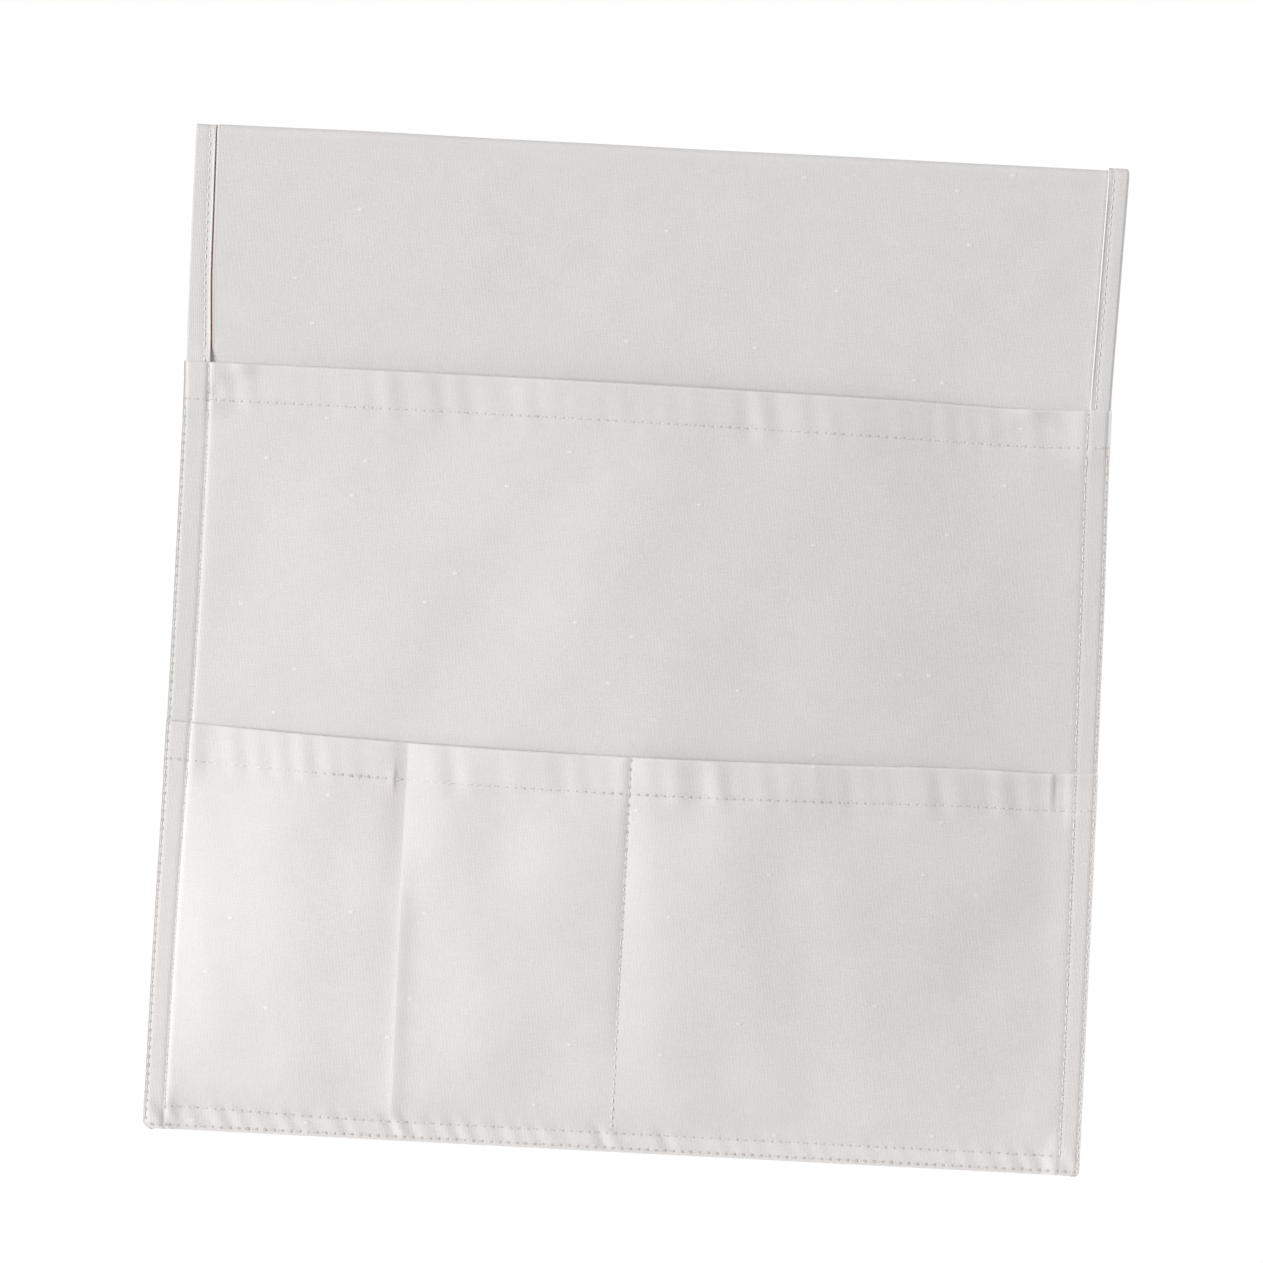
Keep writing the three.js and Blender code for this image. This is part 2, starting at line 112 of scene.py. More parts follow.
outerSide = outerSeamBox[1][0] - cloth["threadRadius"] + cloth["edgeRowOut"]
outerBottom = outerSeamBox[0][2] + cloth["threadRadius"]
hemEdge = halfWidth - cloth["hemWidth"]
foldMiddle = cloth["layerStep"] / 2  # radius of the cloth's own middle round a folded edge
foldReach = foldMiddle + cloth["thickness"] / 2
onHems = cloth["hemTop"] + cloth["layerStep"] - cloth["baseLevel"]  # middle of a layer lying on the side hems
print("places read from the frame")

# Curves and waves


def smooth(value, start, end):
    t = np.clip((value - start) / (end - start), 0, 1)
    return t * t * (3 - 2 * t)


def hump(value, middle, width):
    return np.exp(-(((value - middle) / width) ** 2))


def through(*points):  # smooth curve through a few (place, value) pairs
    places, values = np.array(points, float).T
    slopes = np.gradient(values, places)

    def curve(x):
        x = np.clip(x, places[0], places[-1])
        i = np.clip(np.searchsorted(places, x) - 1, 0, len(places) - 2)
        run = places[i + 1] - places[i]
        t = (x - places[i]) / run
        ends = (1 + 2 * t) * (1 - t) ** 2 * values[i] + t * t * (3 - 2 * t) * values[i + 1]
        return ends + run * (t * (1 - t) ** 2 * slopes[i] - t * t * (1 - t) * slopes[i + 1])

    return curve


def ripples(seed, count, shortest, longest):  # uneven waves along a line, about -1 to 1
    rng = np.random.default_rng(seed)
    lengths = rng.uniform(shortest, longest, count)
    phases = rng.uniform(0, 2 * math.pi, count)
    return lambda u: sum(np.sin(2 * math.pi * u / w + p) for w, p in zip(lengths, phases)) / math.sqrt(count)


def swells(seed, count, shortest, longest):  # the same over a surface
    rng = np.random.default_rng(seed)
    lengths = rng.uniform(shortest, longest, count)
    phases = rng.uniform(0, 2 * math.pi, count)
    turns = rng.uniform(0, math.pi, count)

    def surface(u, v):
        waves = zip(lengths, phases, turns)
        total = sum(np.sin(2 * math.pi * (u * math.cos(a) + v * math.sin(a)) / w + p) for w, p, a in waves)
        return total / math.sqrt(count)

    return surface


def steps(*stretches):  # places along a line, from stretches of (from, to, spacing)
    places = []
    for start, end, spacing in stretches:
        count = max(1, round(abs(end - start) / spacing))
        places.extend(np.linspace(start, end, count + 1)[:-1])
    return np.array(places + [stretches[-1][1]])


# Materials


def maker(tree):  # adds a node, sets it, links or fills its inputs, and gives one of its outputs
    def add(kind, inputs=None, output=0, **settings):
        node = tree.nodes.new(kind)
        for key, value in settings.items():
            setattr(node, key, value)
        for key, value in (inputs or {}).items():
            if isinstance(value, bpy.types.NodeSocket):
                tree.links.new(value, node.inputs[key])
            else:
                node.inputs[key].default_value = value
        return node if output is None else node.outputs[output]

    return add


def math2(add, operation, a, b=0.0):
    return add("ShaderNodeMath", {0: a, 1: b}, operation=operation)


def scaled(add, vector, size):
    return add("ShaderNodeVectorMath", {0: vector, "Scale": size}, operation="SCALE")


def mapRange(add, value, *limits):  # from the first two limits to the next two, or else to 0 and 1
    return add("ShaderNodeMapRange", dict(enumerate((value, *limits))))


def mixColours(add, share, first, second):
    return add("ShaderNodeMix", {0: share, 6: first, 7: second}, output=2, data_type="RGBA")


def speckle(add, size, detail):  # noise on the piece itself, by the size of its grain
    place = add("ShaderNodeTexCoord", output="Object")
    return add("ShaderNodeTexNoise", {"Vector": place, "Scale": 1 / (size * mm), "Detail": detail})


def newMaterial(name):
    material = bpy.data.materials.new(name)
    material.use_nodes = True
    material.node_tree.nodes.clear()
    return material, maker(material.node_tree)


def setShader(add, settings):
    add("ShaderNodeOutputMaterial", {0: add("ShaderNodeBsdfPrincipled", settings)}, output=None)


canvasLook = {
    "warmPatch": (0.708, 0.693, 0.686, 1),
    "coolPatch": (0.696, 0.695, 0.691, 1),
    "paintedShadeColour": (0.40, 0.25, 0.19, 1),  # painted shade: a warm dark colour painted into tight folds and crevices
    "slubColour": (0.79, 0.78, 0.765, 1),
    "yarnPitch": 0.52,
    "yarnStretch": (0.12, 1.9),  # noise along a yarn and across it
    "patchSize": 24.0,
    "mottle": 0.012,
    "mottleSize": 9.0,
    "slubSpacing": 32.0,
    "slubRadius": 0.85,
    "slubPick": 0.4,  # share of places left without one
    "slubTurn": 0.5,
    "grain": 0.035,
    "weaveDepth": 0.07,
    "bump": 0.6,
    "specular": 0.25,
    "roughness": 0.92,
    "sheen": 0.08,
}
lowerLitLook = {  # painted light: the same canvas, made a little lighter and warmer for the lower pockets
    **canvasLook,
    "warmPatch": (0.738, 0.711, 0.705, 1),
    "coolPatch": (0.726, 0.711, 0.708, 1),
}


def canvasMaterial(name, look):
    material, add = newMaterial(name)
    uv = add("ShaderNodeUVMap", uv_map="clothUv")
    flat = scaled(add, uv, cloth["uvSpan"])
    across, along, _ = add("ShaderNodeSeparateXYZ", {0: flat}, output=None).outputs

    def noise(size, detail, source=flat):
        return add("ShaderNodeTexNoise", {"Vector": source, "Scale": 1 / size, "Detail": detail})

    # warm and cool patches, large and faint
    patch = mapRange(add, noise(look["patchSize"], 3), 0.38, 0.62)
    patches = mixColours(add, patch, look["coolPatch"], look["warmPatch"])

    # yarns of uneven thickness both ways, and a fine grain
    lengthways, sideways = look["yarnStretch"]
    stretchAcross = add("ShaderNodeMapping", {0: flat, "Scale": (lengthways, sideways, 1)})
    stretchAlong = add("ShaderNodeMapping", {0: flat, "Scale": (sideways, lengthways, 1)})
    weft = noise(1.0, 1, stretchAcross)
    warp = noise(1.0, 1, stretchAlong)
    grain = math2(add, "MULTIPLY", noise(0.9, 2), 2.0)
    yarns = math2(add, "MULTIPLY", math2(add, "ADD", weft, warp), 0.4)
    yarns = math2(add, "ADD", yarns, math2(add, "MULTIPLY", grain, 0.6))
    tone = mapRange(add, yarns, 0.65, 1.35, 1 - look["grain"], 1 + look["grain"])
    mottle = mapRange(add, noise(look["mottleSize"], 2), 0.3, 0.7, 1 - look["mottle"], 1 + look["mottle"])
    toned = scaled(add, patches, math2(add, "MULTIPLY", tone, mottle))

    # slubs: a few knots of thick yarn
    turned = {0: flat, "Rotation": (0, 0, look["slubTurn"]), "Scale": (0.7, 1.2, 1)}
    scattered = {"Vector": add("ShaderNodeMapping", turned), "Scale": 1 / look["slubSpacing"]}
    cells = add("ShaderNodeTexVoronoi", scattered, output=None, voronoi_dimensions="2D").outputs
    reach = look["slubRadius"] / look["slubSpacing"]
    near = mapRange(add, cells["Distance"], 0.5 * reach, reach, 1.0, 0.0)
    pick = add("ShaderNodeSeparateColor", {0: cells["Color"]})
    slub = math2(add, "MULTIPLY", near, math2(add, "GREATER_THAN", pick, look["slubPick"]))
    flecked = mixColours(add, slub, toned, look["slubColour"])
    # painted shade: a warm dark colour, mixed in as strongly as the per-point shade attribute asks
    paintedShade = add("ShaderNodeAttribute", output="Fac", attribute_name="paintedFoldShade")
    colour = mixColours(add, paintedShade, flecked, look["paintedShadeColour"])

    # over and under of the plain weave
    turn = math.pi / look["yarnPitch"]
    overAcross = math2(add, "COSINE", math2(add, "MULTIPLY", across, turn))
    overAlong = math2(add, "COSINE", math2(add, "MULTIPLY", along, turn))
    crossing = math2(add, "MULTIPLY", overAcross, overAlong)
    crown = math2(add, "ABSOLUTE", crossing)
    woven = math2(add, "ADD", crown, math2(add, "MULTIPLY", yarns, 0.9))
    woven = math2(add, "ADD", woven, math2(add, "MULTIPLY", slub, 2.2))
    relief = {"Strength": look["bump"], "Distance": look["weaveDepth"] * mm, "Height": woven}
    bumps = add("ShaderNodeBump", relief)

    settings = {"Base Color": colour, "Normal": bumps, "Roughness": look["roughness"], "Sheen Weight": look["sheen"]}
    setShader(add, {**settings, "Specular IOR Level": look["specular"]})
    return material


threadLook = {
    "light": (0.76, 0.745, 0.735, 1),
    "dark": (0.67, 0.655, 0.645, 1),
    "spread": (0.35, 0.65),
    "plySize": 0.22,
    "plyDepth": 0.05,
    "shadeSize": 6.0,
    "bump": 0.5,
    "roughness": 0.8,
    "sheen": 0.1,
}


def threadMaterial():
    look = threadLook
    material, add = newMaterial("cottonThread")
    ply = speckle(add, look["plySize"], 2.0)
    shade = speckle(add, look["shadeSize"], 1.0)
    mixed = math2(add, "ADD", math2(add, "MULTIPLY", ply, 0.5), math2(add, "MULTIPLY", shade, 0.5))
    colour = mixColours(add, mapRange(add, mixed, *look["spread"]), look["dark"], look["light"])
    relief = {"Strength": look["bump"], "Distance": look["plyDepth"] * mm, "Height": ply}
    bumps = add("ShaderNodeBump", relief)
    settings = {"Base Color": colour, "Normal": bumps, "Roughness": look["roughness"], "Sheen Weight": look["sheen"]}
    setShader(add, settings)
    return material


# painted shade: the dark inside of a needle hole, given as a flat bead's colour
holeShadeLook = {
    "light": (0.64, 0.615, 0.605, 1),
    "dark": (0.53, 0.505, 0.495, 1),
    "spread": (0.3, 0.7),
    "fraySize": 2.5,
    "roughness": 1.0,
}


def holeShadeMaterial():
    material, add = newMaterial("paintedHoleShade")
    fray = mapRange(add, speckle(add, holeShadeLook["fraySize"], 1.0), *holeShadeLook["spread"])
    colour = mixColours(add, fray, holeShadeLook["dark"], holeShadeLook["light"])
    setShader(add, {"Base Color": colour, "Roughness": holeShadeLook["roughness"]})
    return material


canvas = canvasMaterial("canvas", canvasLook)
lowerLitCanvas = canvasMaterial("lowerLitCanvas", lowerLitLook)
cottonThread = threadMaterial()
paintedHoleShade = holeShadeMaterial()
print("materials made")

# Cloth as a grid of its middle surface, given its thickness and softened raw edges


def makePlain(piece, sharp):  # what its modifiers make becomes its own mesh
    depsgraph = bpy.context.evaluated_depsgraph_get()
    finished = bpy.data.meshes.new_from_object(piece.evaluated_get(depsgraph), depsgraph=depsgraph)
    rough = piece.data
    piece.modifiers.clear()
    piece.data = finished
    bpy.data.meshes.remove(rough)
    finished.name = piece.name
    finished.shade_smooth()
    finished.set_sharp_from_angle(angle=math.radians(sharp))
    return piece


def clothPiece(name, points, flat, paintedShade, material, flip=False):
    rows, columns = points.shape[:2]
    index = np.arange(rows * columns).reshape(rows, columns)
    quads = np.stack([index[:-1, :-1], index[1:, :-1], index[1:, 1:], index[:-1, 1:]], -1).reshape(-1, 4)
    if flip:
        quads = quads[:, ::-1]
    mesh = bpy.data.meshes.new(name)
    mesh.from_pydata((points.reshape(-1, 3) * mm).tolist(), [], quads.tolist())
    corners = np.empty(len(mesh.loops), np.int32)
    mesh.loops.foreach_get("vertex_index", corners)
    uv = (flat.reshape(-1, 2) / cloth["uvSpan"])[corners]
    mesh.uv_layers.new(name="clothUv").data.foreach_set("uv", uv.astype(np.float32).ravel())
    # painted shade: how strongly each point takes the warm dark colour
    fold = mesh.attributes.new("paintedFoldShade", "FLOAT", "POINT")
    fold.data.foreach_set("value", np.broadcast_to(paintedShade, (rows, columns)).astype(np.float32).ravel())
    piece = bpy.data.objects.new(name, mesh)
    scene.collection.objects.link(piece)
    wall = piece.modifiers.new("thickness", "SOLIDIFY")
    wall.thickness = cloth["thickness"] * mm
    wall.offset = 0
    wall.use_even_offset = True
    soft = piece.modifiers.new("softEdges", "BEVEL")
    soft.width = cloth["softShare"] * cloth["thickness"] * mm
    soft.segments = 2
    soft.limit_method = "ANGLE"
    soft.angle_limit = math.radians(cloth["softAngle"])
    makePlain(piece, cloth["sharp"])
    piece.data.materials.clear()
    piece.data.materials.append(material)
    return piece


# How the hanging cloth departs from its flat cut

hang = {
    "rightBow": through(  # right edge drawn in, by height
        (-365, 0), (-300, 0.3), (-228, 0.7), (-191, 1.1), (-155, 1.5), (-119, 2.2), (-88, 2.6),
        (-46, 1.5), (-17, 0.7), (0, 0.2),
    ),
    "leftBow": through(
        (-365, -0.6), (-300, -0.4), (-230, 0.3), (-130, 0.4), (-95, 0.2), (-80, -0.3), (-30, -0.9), (0, -1.0)
    ),
    "swellFrom": (6, 60),  # how far below the arm the cloth starts to swell, and does so fully
    "swell": 0.25,  # slow waves of the whole flap
    "swellForm": swells(11, 7, 75, 170),
    "wrinkle": 0.05,
    "wrinkleForm": swells(17, 12, 16, 46),
    "tailSwell": 0.5,
    "armSwell": 0.12,
    "cornerRun": 12.0,  # how far in from the edge a round corner draws the cloth
}


def cornerPull(x, z, bottom, corner):  # how far a round bottom corner draws the edge in
    up = np.clip(z - bottom, 0, corner)
    pull = corner - np.sqrt(np.maximum(corner**2 - (corner - up) ** 2, 0))
    return pull * np.clip((np.abs(x) - halfWidth + hang["cornerRun"]) / hang["cornerRun"], 0, 1)


def drawnIn(x, z):  # across, once the edges are drawn in and the bottom corners rounded
    bow = np.where(x > 0, hang["rightBow"](z), hang["leftBow"](z)) * smooth(np.abs(x), 0.5 * halfWidth, halfWidth)
    corner = np.where(x > 0, cloth["rightCorner"], cloth["leftCorner"])
    return x - np.sign(x) * (bow + cornerPull(x, z, flapBottom, corner))


def flapSwell(x, z):
    calmer = 1 - 0.6 * smooth(-z, 0, -0.75 * flapBottom)
    slow = hang["swell"] * hang["swellForm"](x, z) * smooth(-z, *hang["swellFrom"]) * calmer
    aboveMouth = smooth(-z, 4, 20) * smooth(-z, -wideMouth + 6, -wideMouth - 8)
    return slow + hang["wrinkle"] * hang["wrinkleForm"](x, z) * aboveMouth


def tailSwell(x, z):
    return hang["tailSwell"] * hang["swellForm"](x + 90, -z) * smooth(-z, *hang["swellFrom"])


# The strip: its cross-section drawn along the path over the arm, one half to each side

stripShape = {
    "hemDip": 0.12,  # where a hem's seam pulls it down
    "hemDipWidth": 0.9,
    "hemCurl": 0.2,  # lift of a hem's free edge
    "curlWidth": 0.8,
    "hemSink": 0.85,  # a doubled hem settles back between the pockets and the arm's edge
    "flapSink": (0.45, -0.72),  # and so much more or less at the flap's left and right hems
    # left hem's free edge, inwards, by height
    "hemLean": through((-130, 0), (-95, 1.7), (-80, 1.8), (-55, 1.0), (-30, 0.7), (0, 0.3)),
    "edgeSpacing": 0.5,
    "middleSpacing": 5.0,
    "cornerStack": 1.1,  # a hem's turned end is one layer shorter, so that its outer layer ends level
    "overlap": 1.5,  # made past the arm's middle, then cut off
    "paintedGapWidth": 1.8,  # width of the painted shade beside the left hem's free edge
    # painted shade's strength there, by height
    "paintedShade": through((-90, 0.8), (-60, 0.7), (-40, 0.5), (-25, 0.32), (0, 0.3)),
}


def hemFree(side, height):  # 1 where nothing is sewn onto the side hems
    if side < 0:
        return 1 - smooth(-height, -wideMouth - 8, -wideMouth - 0.5)
    return 1 - smooth(-height, -tailBottom - 40, -tailBottom - 12)


def stripSection():  # one half: across, out, flat distance from the middle, and 1 on the turned hem
    shape = stripShape
    level = cloth["baseLevel"]
    foldX = halfWidth - foldReach
    near = hemEdge - 1.6
    baseX = steps(
        (0, 130, shape["middleSpacing"]), (130, 154, 2.0), (154, near, 0.7),
        (near, hemEdge + 0.4, 0.2), (hemEdge + 0.4, foldX, 0.6),
    )
    turn = np.linspace(-math.pi / 2, math.pi / 2, 9)[1:-1]
    leafX = steps((foldX, hemEdge + 1.6, shape["edgeSpacing"]), (hemEdge + 1.6, hemEdge, 0.2))
    across = np.concatenate([baseX, foldX + foldMiddle * np.cos(turn), leafX])
    out = [0 * baseX + level, level + foldMiddle * (1 + np.sin(turn)), 0 * leafX + level + 2 * foldMiddle]
    out = np.concatenate(out)
    flat = np.concatenate([[0], np.cumsum(np.hypot(np.diff(across), np.diff(out)))])
    onLeaf = np.concatenate([0 * baseX, 0 * turn, 1 + 0 * leafX])
    return across, out, flat, onLeaf


# stops down one side: distance from the arm's middle, height, which way is out, flat length
def stripPath(bottom, hem):
    radius = cloth["bendRadius"]
    centre = armHalf - radius
    onTop = steps((0, centre - 4, 5.0), (centre - 4, centre, 1.5))
    flatTop = np.concatenate([[-stripShape["overlap"]], onTop])
    bend = np.linspace(0, math.pi / 2, 11)[1:-1]
    turnZ = bottom + foldReach
    down = steps(
        (-radius, -radius - 6, 1.5), (-radius - 6, -radius - 60, 3.0),
        (-radius - 60, turnZ + 9, 3.5), (turnZ + 9, turnZ, 0.7),
    )
    half = foldReach - cloth["baseLevel"] - cloth["thickness"] / 2  # inner face round the turned end
    end = np.linspace(0, math.pi, 10)[1:-1]
    leaf = steps((turnZ, bottom + hem, 1.2))
    away = [flatTop, centre + radius * np.sin(bend), armHalf + 0 * down]
    away += [armHalf - half * (1 - np.cos(end)), armHalf - 2 * half + 0 * leaf]
    height = [0 * flatTop, radius * (np.cos(bend) - 1), down, turnZ - half * np.sin(end), leaf]
    outAway = [0 * flatTop, np.sin(bend), 1 + 0 * down, np.cos(end), -1 + 0 * leaf]
    outUp = [1 + 0 * flatTop, np.cos(bend), 0 * down, -np.sin(end), 0 * leaf]
    away, height, outAway, outUp = map(np.concatenate, (away, height, outAway, outUp))
    level = cloth["baseLevel"]
    middleAway, middleUp = away + level * outAway, height + level * outUp
    length = np.concatenate([[0], np.cumsum(np.hypot(np.diff(middleAway), np.diff(middleUp)))])
    return away, height, outAway, outUp, length - stripShape["overlap"]


def stripPlace(side, across, out, stop):  # side is -1 for the pocketed flap, 1 for the tail
    away, height, outAway, outUp = stop
    bottom = flapBottom if side < 0 else tailBottom
    armWaves = hang["armSwell"] * hang["swellForm"](across + 40, side * away + 300) * smooth(height, -6, 0)
    swell = flapSwell(across, height) if side < 0 else tailSwell(across, height)
    toFlap = smooth(away, 0.1 * armHalf, 0.95 * armHalf) if side < 0 else 0
    sink = stripShape["hemSink"] + toFlap * np.where(across < 0, *stripShape["flapSink"])
    level = out + armWaves - sink * smooth(np.abs(across), hemEdge - 1.1, hemEdge - 0.1) * hemFree(side, height)
    crowded = smooth(np.abs(across), hemEdge - 3.5, hemEdge - 0.3) * smooth(bottom + 9 - height, 0, 8)
    y = side * (away + level * outAway + swell)
    z = height + level * outUp + stripShape["cornerStack"] * crowded
    if side < 0:
        lean = stripShape["hemLean"](height) * smooth(-across, 150, hemEdge - 1)
        lean = lean * (1 - smooth(-across, hemEdge + 1, halfWidth))
        x = across + (drawnIn(across, z) + lean - across) * toFlap
    else:
        x = across - np.sign(across) * cornerPull(across, z, tailBottom, cloth["leftCorner"])
    return np.stack(np.broadcast_arrays(x, y, z), -1)


def hangingStop(z):  # a stop below the bend
    return armHalf + 0 * z, z, 1 + 0 * z, 0 * z


def cutAtMiddle(piece, side):  # plain cut, so that the two halves meet with no rim between them
    form = bmesh.new()
    form.from_mesh(piece.data)
    everything = form.verts[:] + form.edges[:] + form.faces[:]
    across = {"plane_co": (0, 0, 0), "plane_no": (0, side, 0)}
    cut = bmesh.ops.bisect_plane(form, geom=everything, clear_inner=True, **across)
    rim = [part for part in cut["geom_cut"] if isinstance(part, bmesh.types.BMEdge)]
    bmesh.ops.contextual_create(form, geom=rim)
    form.to_mesh(piece.data)
    form.free()
    piece.data.set_sharp_from_angle(angle=math.radians(cloth["sharp"]))


def stripHalf(name, side, bottom, hem):
    shape = stripShape
    both = lambda values, sign: np.concatenate([sign * values[::-1], values[1:]])
    across, out, flat, onLeaf = (both(values, sign) for values, sign in zip(stripSection(), (-1, 1, -1, 1)))
    away, height, outAway, outUp, length = (values[:, None] for values in stripPath(bottom, hem))
    reach = np.abs(across)
    curl = onLeaf * smooth(hemEdge + shape["curlWidth"] - reach, 0, shape["curlWidth"])
    dip = hump(reach, hemSeam, shape["hemDipWidth"]) * (onLeaf - 0.25 * (1 - onLeaf))
    free = np.where(outAway < 0, 0, hemFree(side, height))
    level = out + shape["hemCurl"] * curl * free * smooth(-height, 1, 12) - shape["hemDip"] * dip
    points = stripPlace(side, across[None, :], level, (away, height, outAway, outUp))
    grid = np.stack(np.broadcast_arrays(flat[None, :] + cloth["uvMiddle"], -side * length), -1)
    # painted shade in the crevice beside each hem's free edge, strongest at the flap's left hem
    gap = smooth(reach, hemEdge - shape["paintedGapWidth"], hemEdge - 0.35 * shape["paintedGapWidth"])
    gap = gap * (1 - onLeaf) * (reach < hemEdge + 1)
    strength = np.where(across < 0, shape["paintedShade"](height), 0.05) if side < 0 else 0.3 + 0 * height
    piece = clothPiece(name, points, grid, gap[None, :] * strength * free, canvas, flip=side > 0)
    cutAtMiddle(piece, side)
    return piece, 2 * flat[-1], length[-1, 0]


frontCloth, cutWidth, frontCut = stripHalf("frontCloth", -1, flapBottom, cloth["flapHem"])
backCloth, _, backCut = stripHalf("backCloth", 1, tailBottom, cloth["tailHem"])
print("strip made, cut", round(cutWidth), "wide and", round(frontCut + backCut), "long")

# The pockets: how far out of the flap's inner face the middle of their cloth lies

marginStart, marginEnd = 150, 163  # across, where the sewn edges begin
sewnBand = {
    "rowWidth": 0.9,  # half width of the dip along a row
    "below": 8.0,  # how far under the row the puckers begin
    "easeFrom": 6.0,  # how far over it they begin to ease off towards the mouth
    "ease": 0.4,
    "slant": 0.16,
}

widePocket = {
    "depth": through(  # how far it stands off the flap, from its bottom seam up to its mouth
        (bottomSeam, 6.2), (lowerMouth - 30, 6.0), (lowerMouth, 6.0), (lowerMouth + 55, 6.1), (lowerMouth + 85, 5.7),
        (wideMouth - 15, 4.5), (wideMouth, 3.9),
    ),
    "crest": 8.0,  # fullest place across, how round it is there, and where its right slope ends
    "round": 0.35,
    "rightEnd": 150.0,
    "rightEase": 0.1,
    "pillow": through((-120, 0.22), (120, 0.08)),  # swell inside the side seams
    "seamPull": 0.09,  # share that a seam pulls the layers together
    "rightPull": 0.45,  # the right side seam is slacker
    "rowDip": 0.16,
    "pucker": 0.1,
    "puckerForm": ripples(5, 9, 8, 19),
    "puckerShare": ripples(6, 4, 45, 120),
    "swell": 0.22,
    "swellForm": swells(23, 10, 35, 120),
    "hemLift": 0.15,  # front over its mouth's hem
    "bottomRun": 12.0,
    "bottomLift": 1.5,  # the bottom's inner row climbs at its left end
    "strip": through((-60, 0.17), (60, 0.08)),  # slanting puckers between the bottom's two rows
    "stripForm": ripples(8, 9, 5, 13),
    "gapes": ((-149, 0.8, 4.5), (140, 0.8, 6.5)),  # along the mouth: place, how far it stands off, half its width
    "dimple": (-158, -97, 0.5, 2.6),  # place, height, depth and radius
    # how far its mouth sags along its length, and how far inside the model's line each side seam runs, by height
    "sag": through((-170, 0), (-60, 0), (0, -0.2), (60, -0.7), (100, -1.1), (140, -1.7), (158, -1.2), (170, -0.6)),
    "leftSeamIn": through((-365, 0.7), (-300, 1.2), (-250, 1.6), (-208, 2.2), (-160, 2.5), (-86, 2.4)),
    "rightSeamIn": through((-365, 0.5), (-300, 0.6), (-220, 1.2), (-160, 1.6), (-86, 1.6)),
}


def leftSeam(z):
    return widePocket["leftSeamIn"](z) - sideSeam


def rightSeam(z):
    return sideSeam - widePocket["rightSeamIn"](z)


def fullness(x, z):  # 0 at the side seams, 1 where the wide pocket is fullest
    crest, edge = widePocket["crest"], widePocket["round"]
    toLeft, toRight = (crest - x) / (crest - leftSeam(z)), (x - crest) / (widePocket["rightEnd"] - crest)
    share = np.where(x < crest, toLeft, toRight)
    full = 1 - (np.hypot(share, edge) - edge) / (math.hypot(1, edge) - edge)
    soft = (full + np.hypot(full, widePocket["rightEase"])) / 2  # runs out softly on the right
    return np.where(x < crest, np.clip(full, 0, 1), soft)


def insideSeam(x, z):  # distance inside the nearer side seam
    return np.where(x > 0, rightSeam(z) - x, x - leftSeam(z))


def bottomRow(x):
    return bottomSeam + widePocket["bottomLift"] * smooth(-x, 80, 160)


def upFromSeam(z, power):  # 0 at the bottom seam, 1 at the lower mouth
    return 1 - (1 - np.clip((z - bottomSeam) / (lowerMouth - bottomSeam), 0, 1)) ** power


def overHem(z, mouth):  # 1 where the front lies on its mouth's turned hem
    start = mouth - cloth["mouthHem"]
    return smooth(z, start - cloth["hemRun"], start)


def sewnMouth(shape, x, z, seam, mouth, inside):  # the row under a mouth pulls in, and the cloth round it puckers
    band = sewnBand
    dip = shape["rowDip"] * hump(z, seam, band["rowWidth"]) * smooth(inside, -2, 0)
    reach = smooth(z, seam - band["below"], seam + 1) * (1 - band["ease"] * smooth(z, seam + band["easeFrom"], mouth))
    reach = reach * smooth(inside, 0, 6) * np.clip(0.9 + 0.3 * shape["puckerShare"](x), 0.2, 2)
    return shape["pucker"] * shape["puckerForm"](x + band["slant"] * (z - seam)) * reach - dip


def wideOut(x, z):
    shape = widePocket
    inside = insideSeam(x, z)
    rise = upFromSeam(z, 3)
    atBottom = 1 - smooth(z, bottomSeam, bottomSeam + shape["bottomRun"])
    betweenHems = smooth(hemEdge - 0.3 - np.abs(x), 0, 6.0)
    stack = onHems - 0.7 * betweenHems * atBottom
    margin = smooth(np.abs(x), marginStart, marginEnd)
    lift = shape["hemLift"] * (1 - margin) + cloth["edgeLift"] * cloth["layerStep"] * margin
    stack = stack + lift * overHem(z, wideMouth)
    pull = hump(inside, 0, 0.9) * np.where(x > 0, shape["rightPull"], 1) + hump(np.abs(x), outerSide, 0.7)
    pull = pull + hump(z, bottomRow(x), 0.9) * smooth(inside, -1, 0) + hump(z, outerBottom, 0.7)
    level = stack * (1 - shape["seamPull"] * np.clip(pull, 0, 1)) + shape["depth"](z) * fullness(x, z) * rise
    pillow = shape["pillow"](x) * (1 - np.exp(-np.clip(inside, 0, None) / 1.2))
    level = level + pillow * smooth(z, bottomSeam, bottomSeam + 4)
    slack = smooth(inside, 0, 25) * smooth(z, bottomSeam, bottomSeam + 15)
    level = level + shape["swell"] * shape["swellForm"](x, z) * slack + flapSwell(x, z)
    level = level + sewnMouth(shape, x, z, wideSeam, wideMouth, inside)
    inStrip = (1 - smooth(z, bottomSeam - 0.5, bottomSeam + 6)) * smooth(z, flapBottom, outerBottom + 1)
    level = level + shape["strip"](x) * shape["stripForm"](x + 0.5 * (z - bottomSeam)) * inStrip
    for place, stand, width in shape["gapes"]:
        level = level + stand * hump(x, place, width) * smooth(z, wideMouth - 7, wideMouth - 0.5)
    dimpleX, dimpleZ, deep, radius = shape["dimple"]
    return level - deep * np.exp(-((x - dimpleX) ** 2 + (z - dimpleZ) ** 2) / radius**2)


